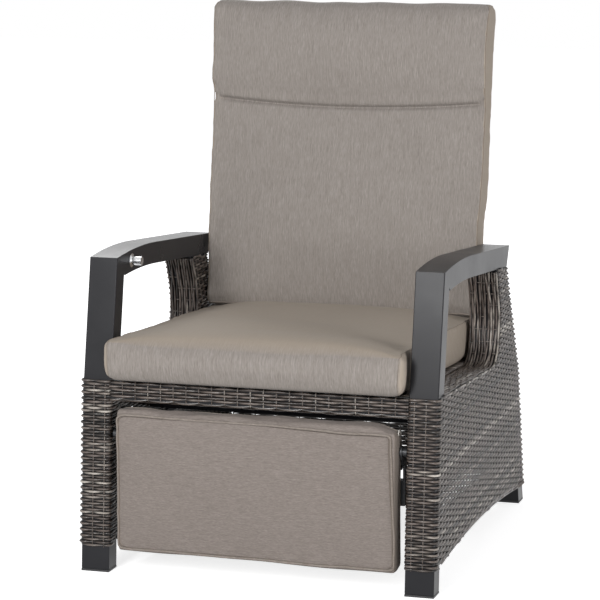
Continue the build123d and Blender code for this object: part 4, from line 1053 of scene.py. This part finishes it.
def seam_line(piece, guides, lie, name, radius, thread, body, sink, closed=True):
    """Sewn line or piping on a cushion: a thin tube where guides held off it come nearest.

    sink is the share of the tube that lies under the cloth.
    """
    tree = BVHTree.FromObject(piece, bpy.context.evaluated_depsgraph_get())
    places = []
    for guide in lie.to_chair(resampled(guides, 5 * MM, closed)):
        place, normal, _, _ = tree.find_nearest(Vector(guide))
        places.append(place + normal * radius * (1 - 2 * sink))
    line = tube(name, smoothed(np.array(places, float), closed), radius, closed, thread)
    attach(line, body)


THREAD, PIPING = 0.8 * MM, 1.9 * MM


def make_seat_cushion(finish, thread):
    """Seat cushion with rounded nose, puckered side seams and a soft, uneven top."""
    half, length, height = 0.295, 0.690, 0.101
    seam = half - 6 * MM

    def held(flat):
        near_seam = np.abs(np.abs(flat[:, 0]) - (seam - 7 * MM)) < 4 * MM
        return near_seam | (flat[:, 2] < 12 * MM) | (flat[:, 1] > length - 14 * MM)

    piece = padded_form("seat_cushion", SEAT, (7 * MM, 9 * MM, 6 * MM), 7.2 * MM, 24 * MM, held)
    bins = np.linspace(0, length, 40)
    tops = edge_line(SEAT.from_chair(coordinates(piece.data)), (half - 50 * MM, half - 25 * MM),
                     1, bins, 14 * MM, 2, np.max)

    def change(flat):
        x, depth, up = flat.T.copy()
        nose = np.clip(1 - depth / (52 * MM), 0, 1)
        up = 46 * MM + (up - 46 * MM) * (1 - 0.17 * nose ** 2)
        near = np.exp(-np.abs(np.abs(x) - seam) / (18 * MM))
        puckers = near * ripple((depth, up, 0), (14 * MM, 14 * MM, 1), 3.1)
        soft = ripple(flat.T, (0.15, 0.13, 0.12), 7.7)
        up += (3.2 * MM * soft + 1.3 * MM * puckers) * smooth_step(up / (30 * MM))
        x += np.sign(x) * 1.3 * MM * puckers * (np.abs(x) > 0.2)
        front = smooth_step((0.10 - depth) / 0.10)
        depth += front * (2.0 * MM * soft + 1.5 * MM * puckers)
        x, up = squared(x, half, up, np.interp(depth, bins, tops), 26 * MM, 0.4)
        x = np.clip(x, -half - 1.5 * MM, half + 1.5 * MM)
        crown = np.sin(np.clip(up / height, 0, 1) * pi) ** 0.5
        x *= 1 + 0.036 * smooth_step((52 * MM - depth) / (30 * MM)) * crown
        return stacked(x, np.clip(depth, 0.3 * MM, length), np.clip(up, 0, height + 4 * MM))

    finish_cushion(piece, SEAT, change, finish, "base", "seat_cushion")
    ring = rounded_box(-6 * MM, -8 * MM, length + 6 * MM, height + 8 * MM, 30 * MM)
    for sign, label in ((1, "left"), (-1, "right")):
        seam_line(piece, stacked(sign * (half + 2 * MM), *ring.T), SEAT, "seat_seam_" + label,
                  THREAD, thread, "base", 0.62)


def make_back_cushion(finish, thread, piping):
    """Back cushion with its head roll over a sewn channel, side seams and a piped foot."""
    half, low, high, channel = 0.297, 0.0865, 0.722, 0.512
    rear = -0.0163
    seam = half - 4 * MM

    def held(flat):
        x, depth, up = flat.T
        near_seam = np.abs(np.abs(x) - (seam - 8 * MM)) < 4 * MM
        sewn = (np.abs(up - channel) < 6 * MM) & (depth < rear - 20 * MM)
        return near_seam | sewn | (depth > rear - 12 * MM) | (up < low + 12 * MM)

    piece = padded_form("back_cushion", BACK, (7 * MM, 6 * MM, 7 * MM), 7.4 * MM, 24 * MM, held)
    bins = np.linspace(low, high, 41)
    faces = edge_line(BACK.from_chair(coordinates(piece.data)), (half - 45 * MM, half - 20 * MM),
                      2, bins, 12 * MM, 1, np.min)

    def change(flat):
        x, depth, up = flat.T.copy()
        # Squarer edges beside the face and at the foot, which reaches down to the seat.
        x, front = squared(x, half, -depth, -np.interp(up, bins, faces), 22 * MM, 0.8)
        depth = -front
        front, down = squared(-depth, -faces[1], -up, -low, 14 * MM, 0.6)
        near_foot = smooth_step((low + 90 * MM - up) / (90 * MM))
        depth = np.where(near_foot > 0, -front, depth)
        up = np.where(near_foot > 0, -down, up) - 27 * MM * near_foot
        # Fuller toward the foot and wider above the arms, where it wraps round the backrest.
        depth -= 24 * MM * smooth_step((0.46 - up) / 0.30) * smooth_step((rear - depth) / (60 * MM))
        above = smooth_step((up - 0.24) / 0.10)
        x *= 1 + 0.012 * smooth_step((up - 0.15) / 0.06) + 0.010 * above
        wraps = (above * smooth_step((np.abs(x) - 274 * MM) / (14 * MM))
                 * smooth_step((depth - rear + 40 * MM) / (40 * MM)))
        x, up = squared(x, half, up, high, 16 * MM, 0.35)
        # The channel: its pinch, the roll that hangs over it, and small tucks along both.
        front = smooth_step((rear - 8 * MM - depth) / (30 * MM))
        sag = 15 * MM * (1 - (x / half) ** 2) * np.exp(-((up - channel) / 0.085) ** 2)
        line = up - channel
        ends = smooth_step((half - 4 * MM - np.abs(x)) / (14 * MM))
        pinch = np.exp(-(line / (4.5 * MM)) ** 2) * ends
        overhang = np.exp(-((line - 11 * MM) / (9 * MM)) ** 2) * ends
        near = np.exp(-np.abs(np.abs(x) - seam) / (16 * MM))
        puckers = near * ripple((0, depth, up), (1, 18 * MM, 15 * MM), 5.3)
        soft = ripple(flat.T, (0.16, 0.13, 0.13), 1.9)
        tucks = np.exp(-np.abs(line) / (16 * MM)) * ripple((x, 0, 0), (19 * MM, 1, 1), 8.8)
        crest = ripple((x, 0, 0), (70 * MM, 1, 1), 2.6)
        depth += front * (7.0 * MM * pinch - 2.0 * MM * overhang + 2.6 * MM * soft
                          + 1.1 * MM * puckers + 0.9 * MM * tucks)
        up -= (sag + 4.0 * MM * overhang) * front
        up += 3.0 * MM * crest * smooth_step((up - high + 40 * MM) / (40 * MM))
        x += np.sign(x) * 1.2 * MM * puckers * (np.abs(x) > 0.2)
        limit = 0.2972 + 4 * MM * smooth_step((up - 0.15) / 0.06) + 2.5 * MM * above
        return stacked(np.clip(x, -limit, limit), np.minimum(depth, rear) + 20 * MM * wraps,
                       np.clip(up, low - 28 * MM, high + 4 * MM))

    finish_cushion(piece, BACK, change, finish, "backrest", "back_cushion")
    bins = np.linspace(low - 23 * MM, high, 41)
    faces = edge_line(BACK.from_chair(coordinates(piece.data)), (half - 12 * MM, 1),
                      2, bins, 14 * MM, 1, np.min)
    up = np.linspace(low - 27 * MM, high + 6 * MM, 90)
    over = np.linspace(faces[-1], rear - 2 * MM, 12)
    for sign, label in ((1, "left"), (-1, "right")):
        x = sign * (half + 13 * MM)
        guides = np.vstack([stacked(x, np.interp(up, bins, faces) - 5 * MM, up),
                            stacked(x, over, high + 6 * MM)])
        seam_line(piece, guides, BACK, "back_seam_" + label, THREAD, thread, "backrest", 0.62,
                  False)
    foot = stacked(np.linspace(-half, half, 90), faces[1] - 4 * MM, low - 33 * MM)
    seam_line(piece, foot, BACK, "back_piping_foot", PIPING, piping, "backrest", 0.35, False)


def make_footrest_cushion(finish, thread, piping):
    """Footrest cushion: a boxed pad with piping round its front panel and its rear edge."""
    low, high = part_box("footrest_cushion")
    front, rear, half = low.y, high.y, high.x
    edge = front + 9 * MM
    base_z, top_z, reach = low.z - 12 * MM, high.z + 8 * MM, half + 4 * MM

    def held(flat):
        x, y, z = flat.T
        near_front = np.abs(y - (edge + 2 * MM)) < 4.5 * MM
        rim = (np.abs(x) > half - 16 * MM) | (z > high.z - 14 * MM) | (z < low.z + 14 * MM)
        return (near_front & rim) | (y > rear - 10 * MM)

    piece = padded_form("footrest_cushion", FOOTREST, (6 * MM, 6 * MM, 6 * MM), 5.4 * MM, 22 * MM,
                        held)

    def panel_edges(x):
        """Lower and upper edge of the front panel, which the piping follows."""
        dip = smooth_step((x + 0.05) / 0.25)
        return base_z + 2 * MM - 3 * MM * dip, top_z - 5 * MM - 8 * MM * dip

    def panel_right(z):
        """Right edge of the front panel, which leans in toward the top."""
        return reach - 1 * MM - 8 * MM * smooth_step((z - base_z) / (top_z - base_z))

    def outside(x, z):
        """How far a place of the front lies outside the front panel."""
        bottom, top = panel_edges(x)
        corner = 16 * MM
        right = np.where(x > 0, x - panel_right(z), -reach + 1 * MM - x)
        over = np.maximum(z - top, bottom - z)
        return np.hypot(np.maximum(right + corner, 0), np.maximum(over + corner, 0)) - corner

    def change(flat):
        x, y, z = flat.T.copy()
        x, front_way = squared(x, half, -y, -edge, 12 * MM, 0.4)
        y = -front_way
        x *= reach / half
        z = base_z + (z - low.z) / (high.z - low.z) * (top_z - base_z)
        soft = ripple(flat.T, (0.12, 0.10, 0.10), 4.2)
        boxing = smooth_step((y - front - 8 * MM) / (10 * MM))
        z -= (13 * MM * smooth_step((x - reach + 60 * MM) / (60 * MM))
              * smooth_step((z - top_z + 50 * MM) / (50 * MM)) * boxing)
        folds = ripple((x, 0, 0), (38 * MM, 1, 1), 6.4)
        slack = ripple((x, y, 0), (75 * MM, 20 * MM, 1), 9.9)
        top = smooth_step((z - (top_z - 24 * MM)) / (18 * MM))
        z += boxing * top * (2.0 * MM * folds + 3.4 * MM * slack + 1.0 * MM)
        z -= 4 * MM * smooth_step((x + 0.1) / 0.3) * smooth_step((high.z - z) / 0.2)
        wave = ripple((x, 0, 0), (0.11, 1, 1), 3.3)
        z += 1.5 * MM * wave * smooth_step((low.z + 60 * MM - z) / (60 * MM))
        near = np.exp(-np.abs(outside(x, z)) / (12 * MM))
        y += (1 - boxing) * (1.6 * MM * soft + 0.8 * MM * folds * near)
        over = np.clip(outside(x, z), 0, 13 * MM)
        rounding = front + 14 * MM - np.sqrt((14 * MM) ** 2 - over ** 2)
        y = np.maximum(y, np.where(over > 0, rounding, y))
        return stacked(np.clip(x, -reach, reach), np.clip(y, front - 2 * MM, rear),
                       np.clip(z, base_z - 6 * MM, top_z + 4 * MM))

    finish_cushion(piece, FOOTREST, change, finish, "footrest", "footrest_cushion")
    bottom, top = panel_edges(0)
    x, z = resampled(rounded_box(-reach, bottom, reach, top, 18 * MM), 8 * MM, True).T
    low_edge, high_edge = panel_edges(x)
    middle, tall = (low_edge + high_edge) / 2, (high_edge - low_edge) / 2
    z = low_edge + (z - bottom) / (top - bottom) * (high_edge - low_edge)
    x = np.minimum(x, panel_right(z))
    # The second line is the stitch line inside the piping, drawn in the dark seam thread so that it
    # also gives the painted shade of the seam's crease.
    for name, radius, inset, line, sink in (
            ("footrest_piping_front", 2.3 * MM, 0.5 * MM, piping, 0.1),
            ("footrest_stitching_and_seam_shade", THREAD, 4.2 * MM, thread, 0.3)):
        guides = stacked(x * (1 - inset / reach), front - 9 * MM,
                         middle + (z - middle) * (1 - inset / tall))
        seam_line(piece, guides, FOOTREST, name, radius, line, "footrest", sink)
    x, z = rounded_box(-reach - 6 * MM, base_z - 6 * MM, reach + 6 * MM, top_z + 6 * MM, 18 * MM).T
    seam_line(piece, stacked(x, rear + 3 * MM, z), FOOTREST, "footrest_piping_rear", PIPING, piping,
              "footrest", 0.15)


# Where arm and post meet, and the centre of the arc that the arm's crown follows.
ARM_FRONT, ARM_TOP = -0.3305, 0.620
RISE, CROWN_RADIUS = radians(5.3), 1.3
CROWN = (ARM_FRONT + CROWN_RADIUS * sin(RISE), ARM_TOP - CROWN_RADIUS * cos(RISE))


def round_out(piece, steps=12):
    """Splits the long flat steps of the arm's crown and lifts them onto their arc."""
    centre_y, centre_z = CROWN

    def polar(vertex):
        y, z = vertex.co.y - centre_y, vertex.co.z - centre_z
        return atan2(y, z), hypot(y, z)

    made = {}
    with opened(piece.data) as shape:
        for edge in list(shape.edges):
            here, two = edge.verts
            (start, near), (end, far) = polar(here), polar(two)
            level = abs(here.co.x - two.co.x) < 0.01 * MM and abs(near - far) < 0.1 * MM
            if not level or edge.calc_length() < 15 * MM:
                continue
            for step in range(1, steps):
                edge = next(link for link in here.link_edges if link.other_vert(here) == two)
                _, here = bmesh.utils.edge_split(edge, here, 1 / (steps - step + 1))
                turn = start + (end - start) * step / steps
                here.co.y, here.co.z = centre_y + near * sin(turn), centre_z + near * cos(turn)
                made.setdefault((round(turn * 1e4), round(near * 1e4)), []).append(here)
        for pair in made.values():
            shared = [face for face in pair[0].link_faces if face in pair[-1].link_faces]
            if len(pair) == 2 and shared:
                bmesh.utils.face_split(shared[0], *pair)


def on_mitre(place):
    """Says whether a place lies in the plane in which arm and post meet."""
    off = (place.y - ARM_FRONT) * 0.675 + (place.z - ARM_TOP) * 0.738
    return place.z > 0.57 and abs(off) < 0.2 * MM


def round_edges(node, body, finish):
    """Copy of a CAD tube with its sharp edges rounded over, except where arm and post meet."""
    piece = merged_copy(node, node + "_rounded")
    if node.startswith("arm"):
        round_out(piece)
    with opened(piece.data) as shape:
        weights = shape.edges.layers.float.new("bevel_weight_edge")
        for edge in shape.edges:
            met = all(on_mitre(vertex.co) for vertex in edge.verts)
            sharp = len(edge.link_faces) == 2 and edge.calc_face_angle() > radians(35)
            edge.smooth = not sharp
            edge[weights] = 1.0 if sharp and not met else 0.0
    shade_smooth(piece.data)
    modify(piece, "BEVEL", width=2 * MM, segments=3, limit_method="WEIGHT", harden_normals=True)
    finish_piece(piece, finish, body, node)


# Hard finishes: the nodes that have them, darker and lighter colour, roughness, the size and
# depth of their texture, how metallic they are and how much clear coat they have.
HARD_FINISHES = {
    # Moulded polyamide: black, half matt, with a fine leather grain.
    "dark_moulded_plastic": (
        ("foot_glides", "arm_end_caps", "back_hinge_bushes", "release_lever"),
        "1E1E20", "29292B", 0.5, 1.11 * MM, 0.1 * MM),
    # Chromed zinc of the push button: bright, mirrors the lamps a little softly.
    "polished_chrome": (
        ("button_bezel", "release_button"),
        "CFD0D2", "DEDFE0", 0.22, 2 * MM, 0.01 * MM, 1.0),
    # Zinc plated steel: grey metal with a dull, broken shine.
    "zinc_plated_steel": (
        ("back_hinge_pins", "lever_link_pins", "footrest_link_pins", "gas_spring_pin",
         "gas_lever_pin"),
        "6A6B6C", "7D7E7E", 0.42, 1.43 * MM, 0.03 * MM, 1.0),
    # Black oxide steel: dark, half metallic, with a slightly rough plate.
    "black_oxide_steel": (
        ("back_lever_plates", "footrest_hinge_plates", "push_rod_left", "push_rod_right",
         "back_hinge_brackets", "footrest_pivot_pins"),
        "2B2C2E", "38393B", 0.42, 1.43 * MM, 0.05 * MM, 0.4),
    # Painted cylinder of the gas spring: deep black, smooth and glossy under a clear coat.
    "gas_spring_black_paint": (
        ("gas_cylinder",), "141415", "1D1D1F", 0.28, 1.11 * MM, 0.03 * MM, 0.0, 0.3),
    # Hard chromed rod: pale metal, the smoothest surface of the chair.
    "hard_chromed_rod": (
        ("gas_rod",), "C4C6C8", "D6D7D8", 0.12, 2 * MM, 0.01 * MM, 1.0),
    # Elastic cord with a knitted cover: pale, matt and fuzzy.
    "pale_elastic_cord": (
        ("footrest_tie_loops",), "B9B5AE", "CFCBC4", 0.7, 0.667 * MM, 0.2 * MM),
}


def paint_nodes():
    """Gives the CAD nodes that stay their finishes, and the visible tubes rounded edges."""
    coat = powder_coat()
    chosen = {"back_cushion_strap": webbing()}
    for name, (nodes, *look) in HARD_FINISHES.items():
        finish = hard_finish(name, *look)
        chosen.update((node, finish) for node in nodes)
    for node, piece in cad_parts.items():
        piece.data.materials.clear()
        piece.data.materials.append(chosen.get(node, coat))
    for hand in ("left", "right"):
        for tube_name in ("arm_", "front_leg_", "rear_leg_"):
            round_edges(tube_name + hand, "base", coat)


add_camera()
add_studio()
wicker_finish = wicker()
paint_nodes()
weave_side("left", 1, 11)
weave_side("right", -1, 17)
weave_apron()
weave_deck()
weave_rear_panel()
weave_backrest()
weave_footrest()

# Threads of the one melange fabric, dark, middle and light, and the painted tint of its flanks,
# which stands for how light falls there.
# Back: slubs run upward, with painted light on its flanks, warmer and paler.
upright = cloth("taupe_melange_upright", "up", ("7D7670", "918A84", "A59E98"), "B2A494")
# Seat: the same cut, with painted light on its top, paler and warmer, and on its flanks.
warm = cloth("taupe_melange_seat", "up", ("7C756E", "908983", "A49D97"), "B2A494", "B0A291")
# Footrest: turned a quarter, so its slubs run level; its threads are painted a little darker, a
# painted shade, and its flanks darker still.
level = cloth("taupe_melange_level", "level", ("746B65", "867D77", "988F89"), "7B7168")
# Seam thread, darker than the cloth: its own colour, and on the footrest a painted shade of the
# seam's crease; and the turned fabric of the piping, with painted shade on its flanks.
sewn = cloth("taupe_seam_and_seam_shade", "up", ("574E48", "6E655E", "81786F"), "B2A494")
piped = cloth("taupe_piping", "level", ("71675F", "8C837B", "A39A92"), "7D7268")
make_seat_cushion(warm, sewn)
make_back_cushion(upright, sewn, piped)
make_footrest_cushion(level, sewn, piped)

bpy.context.scene.view_settings.view_transform = "Standard"
